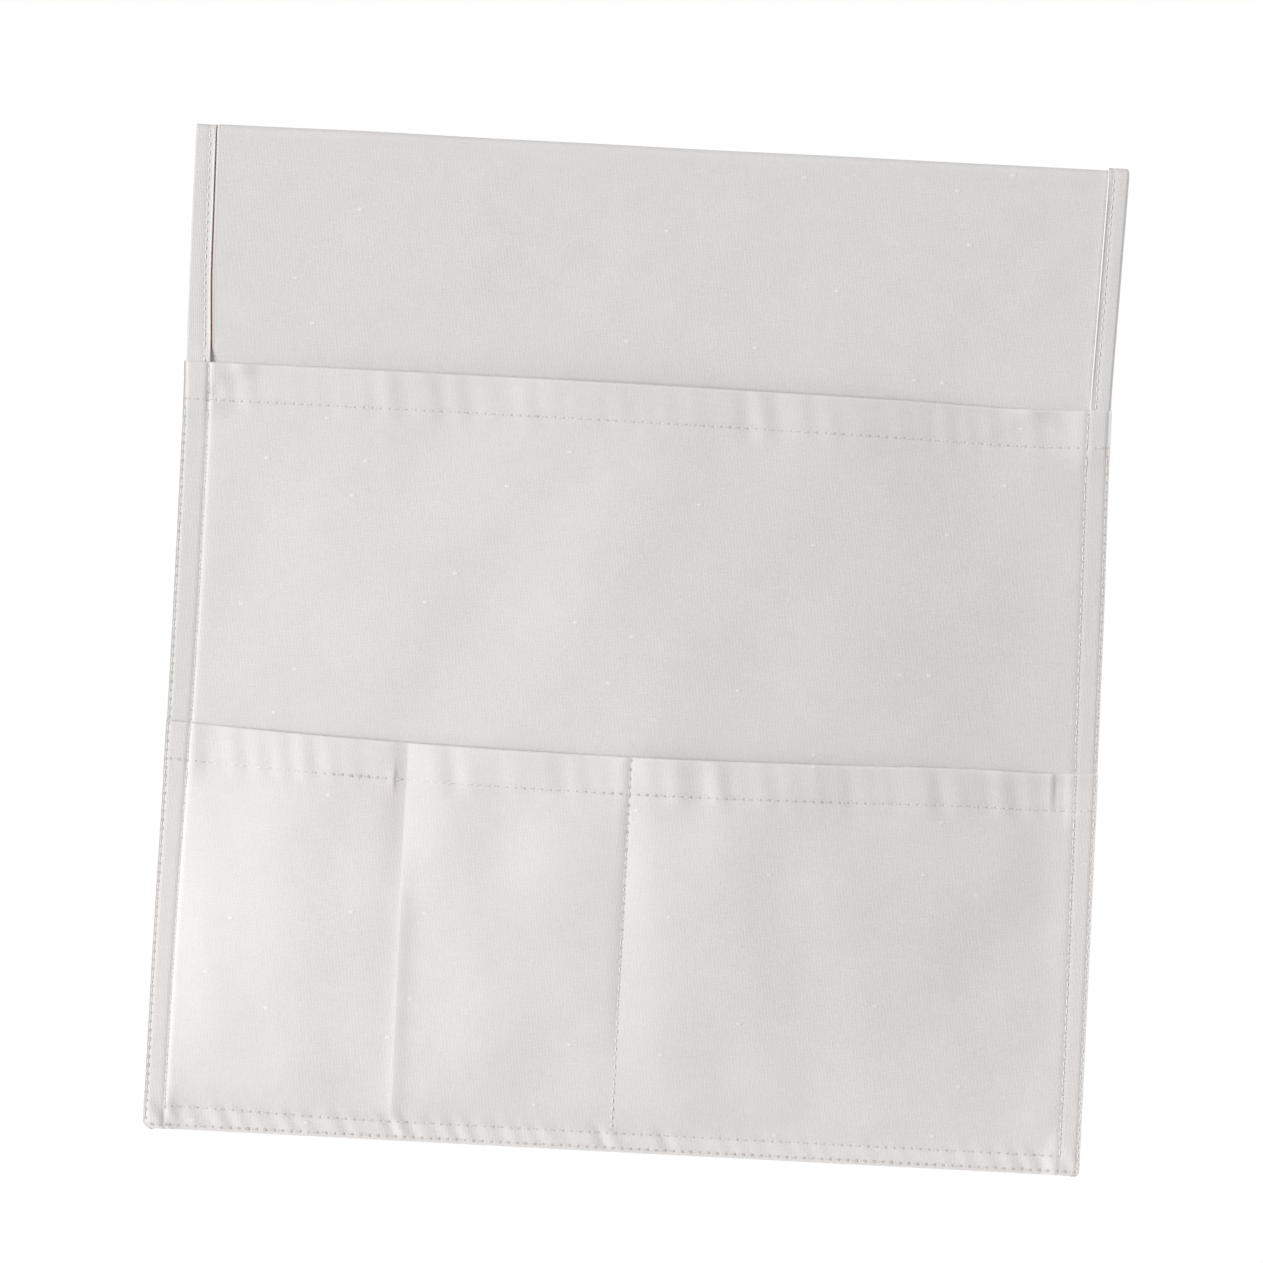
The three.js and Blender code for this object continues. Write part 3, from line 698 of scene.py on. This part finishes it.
lowerPocket = {
    # how far each stands off the wide pocket, by share of its width
    "left": through((0, 0), (0.14, 1.7), (0.33, 3.1), (0.56, 4.2), (0.78, 4.15), (0.94, 4.1), (1, 4.1)),
    "middle": through(
        (0, 4.1), (0.05, 4.3), (0.14, 4.7), (0.3, 5.0), (0.5, 4.85), (0.75, 4.45), (0.95, 4.35), (1, 4.3)
    ),
    "right": through(
        (0, 4.3), (0.03, 4.4), (0.08, 4.55), (0.14, 4.55), (0.3, 4.0), (0.6, 2.8), (0.85, 1.0), (0.95, 0.25), (1, 0.1)
    ),
    "ease": 0.45,  # share of that given up towards the mouth
    "rightSwell": (2.3, 7.0, 1.6),  # fuller beside the second divider: height, run and how sudden
    "swellFrom": (-300, -225),  # heights between which that sets in
    "cushion": (-128, -270, 0.6, 24.0, 42.0),  # fullest part of the left pocket: place, height, how far out, half sizes
    "softDivider": {  # a valley towards the mouth and a ridge below it, with the heights where each sets in
        "valley": 0.7, "reach": 6.0, "valleyFrom": (-285, -245),
        "ridge": 0.45, "crest": 0.4, "left": 2.4, "right": 4.0, "ridgeBelow": (248, 285),
    },
    "tightDivider": {  # the first three are pairs: halfway down, and at the mouth
        "drop": (0.62, 0.28), "left": (3.0, 0.9), "right": (9.0, 1.0),
        "mouthFrom": (-300, -240), "dropFrom": (-352, -305),
        "swell": 0.08, "swellAway": 3.2, "swellWidth": 2.2, "swellFrom": (-262, -240),
    },
    "rowDip": 0.16,
    "pucker": 0.15,
    "puckerForm": ripples(31, 9, 8, 18),
    "puckerShare": ripples(32, 4, 40, 110),
    "swell": 0.2,
    "swellForm": swells(47, 9, 28, 80),
    "hemLift": 0.15,
    "crease": (154, 0.42, 1.2, 14.0, 20.0),  # right end of the mouth: place, drop, half width, reach left and down
    "crinkle": (-86, -230.4, 0.4, 1.0, 4.5),  # place, height, how far out and half sizes
    "gape": (146, 0.9, 20.0),  # along the mouth: place, how far it stands off, half its width
    "sag": through(
        (-170, 0.4), (-150, -0.7), (-81, -3.2), (0, -4.2), (70, -3.4), (126, -2.2), (152, -2.4), (170, -1.5)
    ),
    "paintedDividerShade": 0.1,  # painted shade beside the first divider
}


def lowerBulge(x, z):
    shape = lowerPocket
    left = shape["left"]((x - leftSeam(z)) / (firstDivider - leftSeam(z)))
    middle = shape["middle"]((x - firstDivider) / (secondDivider - firstDivider))
    rightShare = np.clip((x - secondDivider) / (rightSeam(z) - secondDivider), 0, 1)
    swell, run, power = shape["rightSwell"]
    past = np.clip(x - secondDivider, 0, None) / run
    swelling = swell * (1 - np.exp(-(past**power))) * (1 - rightShare) * smooth(z, *shape["swellFrom"])
    right = shape["right"](rightShare) + swelling
    return np.where(x < firstDivider, left, np.where(x < secondDivider, middle, right))


def softDivider(x, z, rise):
    fold = lowerPocket["softDivider"]
    beside = x - firstDivider
    fading = np.exp(-np.clip(beside, 0, None) / fold["reach"])
    valley = np.where(beside < 0, hump(beside, 0, fold["reach"]), fading)
    crest = beside - fold["crest"]
    ridge = np.where(crest < 0, np.exp(np.clip(crest, None, 0) / fold["left"]), hump(crest, 0, fold["right"]))
    ridge = ridge * smooth(z, bottomSeam, bottomSeam + 8) * smooth(-z, *fold["ridgeBelow"])
    return fold["ridge"] * ridge - fold["valley"] * valley * rise * smooth(z, *fold["valleyFrom"])


def tightDivider(x, z, rise):  # a groove along its stitches, and a low swell beside it near the mouth
    fold = lowerPocket["tightDivider"]
    atMouth = smooth(z, *fold["mouthFrom"])
    pairs = (fold[part] for part in ("drop", "left", "right"))
    drop, left, right = (lower * (1 - atMouth) + upper * atMouth for lower, upper in pairs)
    groove = np.exp(-np.abs(x - secondDivider) / np.where(x < secondDivider, left, right))
    groove = drop * groove * smooth(z, *fold["dropFrom"])
    swell = fold["swell"] * hump(x, secondDivider - fold["swellAway"], fold["swellWidth"])
    return rise * (swell * smooth(z, *fold["swellFrom"]) - groove)


def mouthFolds(x, z):  # the crease, the gape and the crinkle of the lower mouth
    place, drop, half, left, down = lowerPocket["crease"]
    lip = np.where(x < place, np.exp(-np.clip(place - half - x, 0, None) / left), 1)
    lip = lip * (1 - smooth(x, place - half, place + half))
    crease = drop * lip * smooth(z, lowerMouth - down, lowerMouth - 6)
    place, stand, width = lowerPocket["gape"]
    gape = stand * hump(x, place, width) * smooth(z, lowerMouth - 7, lowerMouth)
    place, height, stand, width, tall = lowerPocket["crinkle"]
    return crease + gape + stand * hump(x, place, width) * hump(z, height, tall)


def lowerOut(x, z):
    shape = lowerPocket
    rise = upFromSeam(z, 5)
    ease = 1 - shape["ease"] * smooth(z, lowerMouth - 65, lowerMouth - 12)
    inside = insideSeam(x, z)
    rightMargin = 0.5 * smooth(x, marginStart + 5, marginEnd)
    margin = np.where(x < 0, smooth(-x, marginStart, marginEnd), rightMargin)
    atDividers = hump(x, firstDivider, 12) + hump(x, secondDivider, 12)
    lift = np.maximum(cloth["edgeLift"] * cloth["layerStep"] * margin, np.maximum(0.35 * atDividers, shape["hemLift"]))
    level = wideOut(x, z) + cloth["layerStep"] + lift * overHem(z, lowerMouth) + lowerBulge(x, z) * rise * ease
    slack = smooth(inside, 0, 12) * smooth(z, bottomSeam, bottomSeam + 15)
    cushionX, cushionZ, high, wide, tall = shape["cushion"]
    cushion = high * hump(x, cushionX, wide) * hump(z, cushionZ, tall)
    level = level + (shape["swell"] * shape["swellForm"](x, z) + cushion) * slack
    level = level + softDivider(x, z, rise) + tightDivider(x, z, rise)
    return level + sewnMouth(shape, x, z, lowerSeam, lowerMouth, inside) + mouthFolds(x, z)


def wideFace(x, z):  # sewn up to the lower cloth along the dividers
    behind = 1.05 + smooth(z, lowerMouth - cloth["mouthHem"] - 4, lowerMouth - cloth["mouthHem"] - 1)
    gap = np.clip(lowerOut(x, z) - behind * cloth["layerStep"] - wideOut(x, z), 0, None)
    held = smooth(z, bottomSeam, bottomSeam + 20) * (1 - smooth(z, lowerMouth - 12, lowerMouth - 3))
    return wideOut(x, z) + gap * held * (hump(x, firstDivider, 7) + hump(x, secondDivider, 7))


# painted shade: warm darkening on the left of the first divider, centred about 28 mm below the mouth
def lowerPaintedShade(x, z):
    beside = np.where(x < firstDivider, np.exp(-np.clip(firstDivider - x, 0, None) / 7), 0)
    return lowerPocket["paintedDividerShade"] * beside * hump(z, lowerMouth - 28, 30)


def lowerSag(x, z):
    return lowerPocket["sag"](x) * upFromSeam(z, 1)


def wideSag(x, z):
    return widePocket["sag"](x) * np.clip((z - lowerMouth) / (wideMouth - lowerMouth), 0, 1)


# no painted shade
def noPaintedShade(x, z):
    return 0 * x * z


def flapPlace(x, out, z, sag):
    return np.stack(np.broadcast_arrays(drawnIn(x, z), -(armHalf + out), z + sag(x, z)), -1)


columnSpacing = {"plain": 1.5, "left": 0.45, "divider": 0.42, "right": 0.5}  # across a pocket's cloth


def pocketSheet(name, level, sag, mouth, rows, paintedShade, material):
    spacing = columnSpacing
    columns = [(-halfWidth, -158, spacing["left"])]
    for line in (firstDivider, secondDivider):
        columns += [(columns[-1][1], line - 5, spacing["plain"]), (line - 5, line + 5, spacing["divider"])]
    columns += [(columns[-1][1], 149, spacing["plain"]), (149, halfWidth, spacing["right"])]
    x = steps(*columns)[:, None]
    z = rows[None, :]
    turnZ = mouth - foldReach
    turn = np.linspace(0, math.pi, 11)[1:-1][None, :]
    leafZ = steps((turnZ, mouth - cloth["mouthHem"], 1.5))[None, :]
    front = level(x, z)
    fold = level(x, 0 * turn + turnZ) - foldMiddle * (1 - np.cos(turn))
    leaf = level(x, leafZ) - cloth["layerStep"]
    out = np.concatenate([front, fold, leaf], 1)
    height = np.concatenate([z, turnZ + foldMiddle * np.sin(turn), leafZ], 1)
    points = flapPlace(x, out, np.broadcast_to(height, out.shape), sag)
    flatSteps = np.hypot(np.diff(height[0]), np.diff(out[len(x) // 3]))
    flatZ = np.concatenate([[0], np.cumsum(flatSteps)])
    grid = np.stack(np.broadcast_arrays(x + cloth["uvMiddle"], flatZ[None, :]), -1)
    piece = clothPiece(name, points, grid, paintedShade(x, height), material)
    return piece, 2 * halfWidth, flatZ[-1]


bottomRows = [(flapBottom, flapBottom + 4, 0.4), (flapBottom + 4, bottomSeam + 4, 0.7)]
bottomRows += [(bottomSeam + 4, bottomSeam + 16, 1.5)]
wideRows = bottomRows + [(bottomSeam + 16, lowerMouth - 6, 6.0), (lowerMouth - 6, lowerMouth + 6, 2.5)]
wideRows += [(lowerMouth + 6, wideSeam - 16, 3.0), (wideSeam - 16, wideSeam - 3, 1.6)]
wideRows += [(wideSeam - 3, wideSeam + 3, 0.6), (wideSeam + 3, wideMouth - foldReach, 1.6)]
lowerRows = bottomRows + [(bottomSeam + 16, lowerSeam - 16, 2.5), (lowerSeam - 16, lowerSeam - 3, 1.6)]
lowerRows += [(lowerSeam - 3, lowerSeam + 3, 0.6), (lowerSeam + 3, lowerMouth - foldReach, 1.6)]
wideCloth, wideCutWidth, wideCut = pocketSheet(
    "widePocketCloth", wideFace, wideSag, wideMouth, steps(*wideRows), noPaintedShade, canvas
)
lowerCloth, lowerCutWidth, lowerCut = pocketSheet(
    "lowerPocketCloth", lowerOut, lowerSag, lowerMouth, steps(*lowerRows), lowerPaintedShade, lowerLitCanvas
)
print("pockets made, cut", round(wideCut), "and", round(lowerCut), "tall")

# Stitches: one node tree lays a thread along every seam, with dark beads of painted shade at its needle holes

stitches = {
    "Pitch": 3.15,
    "Stitch Length": 2.45,
    "Thread Diameter": 0.42,
    "Rise": 0.30,
    "Sink": 0.26,
    "Hole Size": 1.1,
    "Turn": 4.0,  # degrees that a stitch may lie askew
    "seed": 7,
    "sharp": 50.0,  # degrees past which faces meet in an edge
    "buried": 0.25,  # how deep a row without holes is drawn into the cloth
    "fading": 0.1,  # how unevenly the holes show along a row
    "fadeForm": swells(61, 8, 14, 60),
    "leftHemRow": through((-100, 0.6), (-60, 0.4), (-35, 0.15), (-12, 0.15), (-4, 0.35), (0, 0.35)),  # by height
    "rightHemRow": 0.3,
    "secondRow": through((-365, 0.3), (-320, 0.5), (-260, 0.9), (-220, 1.0)),  # second divider's, by height
    "lowerRow": through(  # how strongly the lower pockets' row shows along its length
        (-170, 1.0), (-160, 0.9), (-152, 0.3), (-122, 0.3), (-108, 0.8), (-90, 1.0), (-80, 0.4),
        (-64, 0.4), (-45, 0.6), (170, 0.55),
    ),
}
stitchLengths = ("Pitch", "Stitch Length", "Thread Diameter", "Rise", "Sink", "Hole Size")


def stitchTree():
    tree = bpy.data.node_groups.new("stitchRows", "GeometryNodeTree")
    sockets = {}

    def socket(name, kind):
        sockets[name] = tree.interface.new_socket(name, in_out="INPUT", socket_type=kind).identifier

    socket("Seams", "NodeSocketGeometry")
    for name in (*stitchLengths, "Turn"):
        socket(name, "NodeSocketFloat")
    socket("Seed", "NodeSocketInt")
    socket("Thread", "NodeSocketMaterial")
    socket("Painted Hole Shade", "NodeSocketMaterial")
    tree.interface.new_socket("Stitches", in_out="OUTPUT", socket_type="NodeSocketGeometry")
    add = maker(tree)
    given = add("NodeGroupInput", output=None).outputs
    path = add("GeometryNodeMeshToCurve", {0: given["Seams"]})
    row = add("GeometryNodeResampleCurve", {0: path, "Length": given["Pitch"]}, mode="LENGTH")

    def scatter(shape, chosen, turn, material, **others):  # one at each point of the rows, as plain meshes
        placed = {"Points": row, "Selection": chosen, "Instance": shape, "Rotation": turn, **others}
        meshes = add("GeometryNodeRealizeInstances", {0: add("GeometryNodeInstanceOnPoints", placed)})
        return add("GeometryNodeSetMaterial", {"Geometry": meshes, "Material": given[material]})

    # each stitch lies along its seam, with its back to the cloth
    tangent = add("GeometryNodeInputTangent")
    outward = add("GeometryNodeInputNamedAttribute", {"Name": "outward"}, data_type="FLOAT_VECTOR")
    lying = add("FunctionNodeAlignRotationToVector", {"Vector": tangent}, axis="X")
    backed = {"Rotation": lying, "Vector": outward}
    facing = add("FunctionNodeAlignRotationToVector", backed, axis="Z", pivot_axis="X")
    least = math2(add, "MULTIPLY", given["Turn"], -1.0)
    limits = {2: least, 3: given["Turn"], "Seed": given["Seed"]}
    askew = add("FunctionNodeRandomValue", limits, output=1, data_type="FLOAT")
    turned = add("FunctionNodeAxisAngleToRotation", {"Axis": (0, 0, 1), "Angle": askew})
    both = {"Rotation": facing, "Rotate By": turned}
    rotation = add("FunctionNodeRotateRotation", both, rotation_space="LOCAL")

    # one thread: an arch that comes out of a hole and goes into the next
    spare = math2(add, "SUBTRACT", given["Pitch"], given["Stitch Length"])
    startX = math2(add, "MULTIPLY", spare, 0.5)
    endX = math2(add, "ADD", startX, given["Stitch Length"])
    middleX = math2(add, "MULTIPLY", given["Pitch"], 0.5)
    low = math2(add, "MULTIPLY", given["Sink"], -1.0)
    start = add("ShaderNodeCombineXYZ", {0: startX, 2: low})
    middle = add("ShaderNodeCombineXYZ", {0: middleX, 2: given["Rise"]})
    end = add("ShaderNodeCombineXYZ", {0: endX, 2: low})
    bow = {"Resolution": 5, "Start": start, "Middle": middle, "End": end}
    arch = add("GeometryNodeCurveQuadraticBezier", bow)
    radius = math2(add, "MULTIPLY", given["Thread Diameter"], 0.5)
    ring = add("GeometryNodeCurvePrimitiveCircle", {"Resolution": 6, "Radius": radius})
    thread = add("GeometryNodeCurveToMesh", {"Curve": arch, "Profile Curve": ring, "Fill Caps": True})
    last = add("GeometryNodeCurveEndpointSelection", {"Start Size": 0, "End Size": 1})
    between = add("FunctionNodeBooleanMath", {0: last}, operation="NOT")
    threads = scatter(thread, between, rotation, "Thread")

    # one hole: painted shade, a flat dark bead sunk in the cloth where the needle went through
    wide = math2(add, "MULTIPLY", given["Hole Size"], 0.5)
    tall = math2(add, "MULTIPLY", given["Hole Size"], 0.35)
    bead = add("GeometryNodeMeshCylinder", {"Vertices": 7, "Radius": wide, "Depth": tall})
    nextSeed = math2(add, "ADD", given["Seed"], 1.0)
    limits = {0: (0.85, 0.75, 1), 1: (1.2, 1.05, 1), "Seed": nextSeed}
    sizes = add("FunctionNodeRandomValue", limits, data_type="FLOAT_VECTOR")
    strength = add("GeometryNodeInputNamedAttribute", {"Name": "strength"}, data_type="FLOAT")
    shown = add("FunctionNodeCompare", {0: strength, 1: 0.1}, data_type="FLOAT", operation="GREATER_THAN")
    holes = scatter(bead, shown, facing, "Painted Hole Shade", Scale=scaled(add, sizes, strength))
    both = add("GeometryNodeJoinGeometry", output=None)
    for part in (threads, holes):
        tree.links.new(part, both.inputs[0])
    add("NodeGroupOutput", {0: both.outputs[0]}, output=None)
    return tree, sockets


rowTree, rowSockets = stitchTree()


# seams are (points, outward) pairs in millimetres, each with how strong the painted shade of its holes looks
def stitchPiece(name, seams):
    points = np.concatenate([p for (p, _), _ in seams])
    outward = np.concatenate([o for (_, o), _ in seams])
    strength = np.concatenate([share + 0 * p[:, 0] for (p, _), share in seams])
    points = points - stitches["buried"] * outward * (strength == 0)[:, None]
    strength = strength * (1 + stitches["fading"] * stitches["fadeForm"](points[:, 0], points[:, 2]))
    edges, first = [], 0
    for (p, _), _ in seams:
        edges += [(first + i, first + i + 1) for i in range(len(p) - 1)]
        first += len(p)
    mesh = bpy.data.meshes.new(name)
    mesh.from_pydata((points * mm).tolist(), edges, [])
    facing = mesh.attributes.new("outward", "FLOAT_VECTOR", "POINT")
    facing.data.foreach_set("vector", outward.astype(np.float32).ravel())
    shown = mesh.attributes.new("strength", "FLOAT", "POINT")
    shown.data.foreach_set("value", strength.astype(np.float32))
    piece = bpy.data.objects.new(name, mesh)
    scene.collection.objects.link(piece)
    rows = piece.modifiers.new("stitchRows", "NODES")
    rows.node_group = rowTree
    for key in stitchLengths:
        rows[rowSockets[key]] = stitches[key] * mm
    rows[rowSockets["Turn"]] = math.radians(stitches["Turn"])
    rows[rowSockets["Seed"]] = stitches["seed"]
    rows[rowSockets["Thread"]] = cottonThread
    rows[rowSockets["Painted Hole Shade"]] = paintedHoleShade
    return makePlain(piece, stitches["sharp"])


seamStep = 2.0  # between the points that a seam runs through


def onPocket(level, sag, x, z, back=False):  # a seam on a pocket's face
    x, z = np.broadcast_arrays(np.asarray(x, float), np.asarray(z, float))
    step = 0.4
    slopeX = (level(x + step, z) - level(x - step, z)) / (2 * step)
    slopeZ = (level(x, z + step) - level(x, z - step)) / (2 * step)
    size = np.sqrt(1 + slopeX**2 + slopeZ**2)
    side = -1 if back else 1
    lift = side * cloth["thickness"] / 2
    points = flapPlace(x - lift * slopeX / size, level(x, z) + lift / size, z - lift * slopeZ / size, sag)
    return points, side * np.stack([-slopeX / size, -1 / size, -slopeZ / size], -1)


def onStrip(side, across, out, bottom, hem, onArm, inner=False):  # a seam along the strip, on the arm or down its side
    path = stripPath(bottom, hem)
    keep = (path[0] > -0.01) & (path[2] < 0.02) if onArm else (path[2] > 0.98) & (path[1] > bottom + hem)
    keep = keep & (path[2] > -0.01)
    stop = tuple(values[keep] for values in path[:4])
    across = np.full(keep.sum(), float(across))
    points = stripPlace(side, across, out, stop)
    sign = -1 if inner else 1
    return points, sign * np.stack([0 * stop[2], side * stop[2], stop[3]], -1)


def acrossStrip(side, z, out, start, end, inner=False):  # a seam across the flap or the tail
    x = steps((start, end, seamStep))
    points = stripPlace(side, x, out(x), hangingStop(z + 0 * x))
    return points, np.tile([0, side * (-1 if inner else 1), 0], (len(x), 1))


halfCloth = cloth["thickness"] / 2
hemFace = cloth["baseLevel"] + 2 * foldMiddle + halfCloth - stripShape["hemDip"]
innerFace = cloth["baseLevel"] - halfCloth
turnedFace = innerFace - cloth["layerStep"]  # back of a turned end
turnedHemFace = turnedFace - cloth["layerStep"]


def hemSeams(side, bottom, hem):
    rows = []
    for x in (-hemSeam, hemSeam):
        for onArm in (True, False):  # the stitch round the bend lies buried in it
            face = onStrip(side, x, hemFace, bottom, hem, onArm)
            share = stitches["rightHemRow"] if x > 0 else stitches["leftHemRow"](face[0][:, 2])
            rows.append((face, share))
            rows.append((onStrip(side, x, innerFace, bottom, hem, onArm, inner=True), 0.8))
    return rows


frontStitches = stitchPiece("frontHemStitches", hemSeams(-1, flapBottom, cloth["flapHem"]))


def tailFace(x):
    return np.where(np.abs(x) > hemEdge - 0.4, hemFace + stripShape["hemDip"], cloth["baseLevel"] + halfCloth)


def tailBack(x):
    return np.where(np.abs(x) > hemEdge - 0.4, turnedHemFace, turnedFace)


tailRows = hemSeams(1, tailBottom, cloth["tailHem"])
tailRows.append((acrossStrip(1, tailSeam, tailFace, -hemSeam + 1.5, hemSeam - 1.5), 0.9))
tailRows.append((acrossStrip(1, tailSeam, tailBack, -hemSeam + 1.5, hemSeam - 1.5, inner=True), 0.9))
tailStitches = stitchPiece("tailStitches", tailRows)


def sideRow(line, bottomZ, startZ):  # down one side: on the wide pocket, then on the lower one
    upper = steps((startZ, lowerMouth + lowerPocket["sag"](np.array(line(lowerMouth))) + 1.2, seamStep))
    lower = steps((lowerMouth - 1.2, bottomZ, seamStep))
    return onPocket(wideOut, wideSag, line(upper), upper), onPocket(lowerOut, lowerSag, line(lower), lower)


def backRow(line, startZ):  # the same seam on the flap's inner face
    z = steps((startZ, flapBottom + cloth["flapHem"] + 0.5, seamStep))
    return stripPlace(-1, line(z), innerFace + 0 * z, hangingStop(z)), np.tile([0, 1, 0], (len(z), 1))


def leftOuter(z):
    return 0 * z - outerSide


def rightOuter(z):
    return 0 * z + outerSide


pocketRows = []
startZ = wideMouth - 1.6
for line, bottomZ, share in ((leftSeam, bottomSeam + 1.0, 0.8), (rightSeam, bottomSeam, 0.7)):
    pocketRows += [(row, share) for row in sideRow(line, bottomZ, startZ)]
outerRows = ((leftOuter, outerBottom + 2.2, (1.15, 1.15)), (rightOuter, outerBottom + 1.2, (0.9, 0.5)))
for line, bottomZ, shares in outerRows:
    pocketRows += zip(sideRow(line, bottomZ, wideSeam), shares)
bottomX = steps((leftSeam(bottomSeam) + 2.5, rightSeam(bottomSeam), seamStep))
pocketRows.append((onPocket(lowerOut, lowerSag, bottomX, bottomRow(bottomX)), 0.85))
bottomX = steps((-outerSide + 2.2, outerSide - 1.2, seamStep))
pocketRows.append((onPocket(lowerOut, lowerSag, bottomX, outerBottom), 1.05))
for level, sag, seamZ in ((wideOut, wideSag, wideSeam), (lowerOut, lowerSag, lowerSeam)):
    mouthRow = steps((-outerSide + 1.5, outerSide - 1.5, seamStep))
    share = 0.75 if seamZ == wideSeam else stitches["lowerRow"](mouthRow)
    pocketRows.append((onPocket(level, sag, mouthRow, seamZ), share))
    within = steps((-sideSeam + 3, sideSeam - 3, seamStep))
    behind = lambda x, z, face=level: face(x, z) - cloth["layerStep"]
    pocketRows.append((onPocket(behind, sag, within, seamZ, back=True), 0.9))
lineZ = steps((lowerMouth - 1.2, bottomSeam + 1.5, seamStep))
for line, share in ((firstDivider, 0 * lineZ), (secondDivider, stitches["secondRow"](lineZ))):
    pocketRows.append((onPocket(lowerOut, lowerSag, line + 0 * lineZ, lineZ), share))
    pocketRows.append((onPocket(wideFace, wideSag, line + 0 * lineZ, lineZ, back=True), 0.9))
for lines, bottomZ in (((leftSeam, rightSeam), bottomSeam), ((leftOuter, rightOuter), outerBottom)):
    pocketRows += [(backRow(line, startZ), 0.9) for line in lines]
    pocketRows.append((acrossStrip(-1, bottomZ, tailBack, *(line(bottomZ) for line in lines), inner=True), 0.9))
pocketStitches = stitchPiece("pocketStitches", pocketRows)
print("stitches made", [len(p.data.polygons) for p in (frontStitches, tailStitches, pocketStitches)])

# Where each piece sits: the strip and its rows baked in place, the pockets and their rows on the pocket flap's body,
# and the model's own parts hidden

for piece in (frontCloth, frontStitches):
    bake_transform(piece)
for piece in (backCloth, tailStitches):
    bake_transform(piece)
for piece in (wideCloth, lowerCloth, pocketStitches):
    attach(piece, "pocket_flap")

threadNodes = [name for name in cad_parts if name.endswith("_thread")]
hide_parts("arm_panel", "front_panel")
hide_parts("tail_panel")
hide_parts("wide_pocket")
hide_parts("lower_pockets")
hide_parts(*[n for n in threadNodes if n.startswith(("arm_", "flap_"))])
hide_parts(*[n for n in threadNodes if n.startswith("tail_")])
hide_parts(*[n for n in threadNodes if not n.startswith(("arm_", "flap_", "tail_"))])

# Studio: a pale floor well below the arm, one soft light from the left, weaker ones and a little all round

studio = {
    "floorHeight": -600.0,
    "floorRadius": 900.0,
    "floorColour": (0.86, 0.855, 0.85),
    "mottleSize": 1000.0 / 3,
    "lampSize": 2000.0,
    "lamps": {  # place, power and colour of each
        "keyLight": ((-5740.0, -3050.0, 50.0), 510.0, (1.0, 0.998, 0.992)),
        "fillLight": ((900.0, -900.0, 2800.0), 30.0, (1.0, 0.99, 0.98)),
        "rimLight": ((5500.0, 900.0, 0.0), 160.0, (1.0, 0.99, 0.98)),  # only edges turned to the right take it
        "backLight": ((0.0, 6000.0, -150.0), 150.0, (1.0, 0.99, 0.98)),  # only what faces backwards takes it
    },
    "around": 0.315,
    "aroundColour": (1.0, 0.982, 0.972, 1),
}


def floorMaterial():
    material, add = newMaterial("paleFloor")
    mottle = mapRange(add, speckle(add, studio["mottleSize"], 2.0), 0.3, 0.7, 0.985, 1.0)
    setShader(add, {"Base Color": scaled(add, studio["floorColour"], mottle), "Roughness": 0.9})
    return material


def makeFloor():
    turn = np.linspace(0, 2 * math.pi, 97)[:-1]
    radius, height = studio["floorRadius"] * mm, studio["floorHeight"] * mm
    mesh = bpy.data.meshes.new("floor")
    mesh.from_pydata([(radius * math.cos(a), radius * math.sin(a), height) for a in turn], [], [list(range(96))])
    mesh.materials.append(floorMaterial())
    floor = bpy.data.objects.new("floor", mesh)
    scene.collection.objects.link(floor)


def areaLight(name, place, power, colour):
    data = bpy.data.lights.new(name, "AREA")
    data.size = studio["lampSize"] * mm
    data.energy = power
    data.color = colour
    lamp = bpy.data.objects.new(name, data)
    lamp.visible_camera = False
    scene.collection.objects.link(lamp)
    spot = Vector(place) * mm
    aim = (Vector(flapCentre) * mm - spot).to_track_quat("-Z", "Y")
    lamp.matrix_world = Matrix.Translation(spot) @ aim.to_matrix().to_4x4()


def makeWorld():
    world = bpy.data.worlds.new("studio")
    scene.world = world
    world.use_nodes = True
    world.node_tree.nodes.clear()
    add = maker(world.node_tree)
    ray = add("ShaderNodeLightPath", output=None).outputs
    mirrored = math2(add, "MAXIMUM", ray["Is Glossy Ray"], ray["Is Transmission Ray"])
    seen = math2(add, "MAXIMUM", ray["Is Camera Ray"], mirrored)
    soft = add("ShaderNodeBackground", {0: studio["aroundColour"], 1: studio["around"]})
    white = add("ShaderNodeBackground", {0: (1, 1, 1, 1), 1: 1.0})
    mixed = add("ShaderNodeMixShader", {0: seen, 1: soft, 2: white})
    add("ShaderNodeOutputWorld", {0: mixed}, output=None)


flapCentre = (0.0, -armHalf - 4.0, flapBottom / 2)
makeFloor()
for name, lamp in studio["lamps"].items():
    areaLight(name, *lamp)
makeWorld()

# Camera: straight in front of the flap, rolled as the photograph is

view = {
    "imageSize": 1263.0,
    "centre": (637.6, 649.8),  # where the middle of the flap falls in the image
    "scale": 0.36305,  # millimetres to a pixel there
    "roll": 2.99,  # degrees
    "distance": 1500.0,
}


def makeCamera():
    data = bpy.data.cameras.new("camera")
    camera = bpy.data.objects.new("camera", data)
    scene.collection.objects.link(camera)
    span = view["imageSize"] * view["scale"]
    data.sensor_width = 36.0
    data.lens = data.sensor_width * view["distance"] / span
    data.clip_start = 0.05
    roll = math.radians(view["roll"])
    right = (view["centre"][0] - view["imageSize"] / 2) * view["scale"]
    down = (view["centre"][1] - view["imageSize"] / 2) * view["scale"]
    turned = Matrix.Rotation(math.pi / 2, 4, "X") @ Matrix.Rotation(roll, 4, "Z")
    middle = Vector(flapCentre) - turned.to_3x3() @ Vector((right, -down, 0))
    place = middle + turned.to_3x3() @ Vector((0, 0, view["distance"]))
    camera.matrix_world = Matrix.Translation(place * mm) @ turned
    scene.camera = camera


makeCamera()
print("studio and camera made")
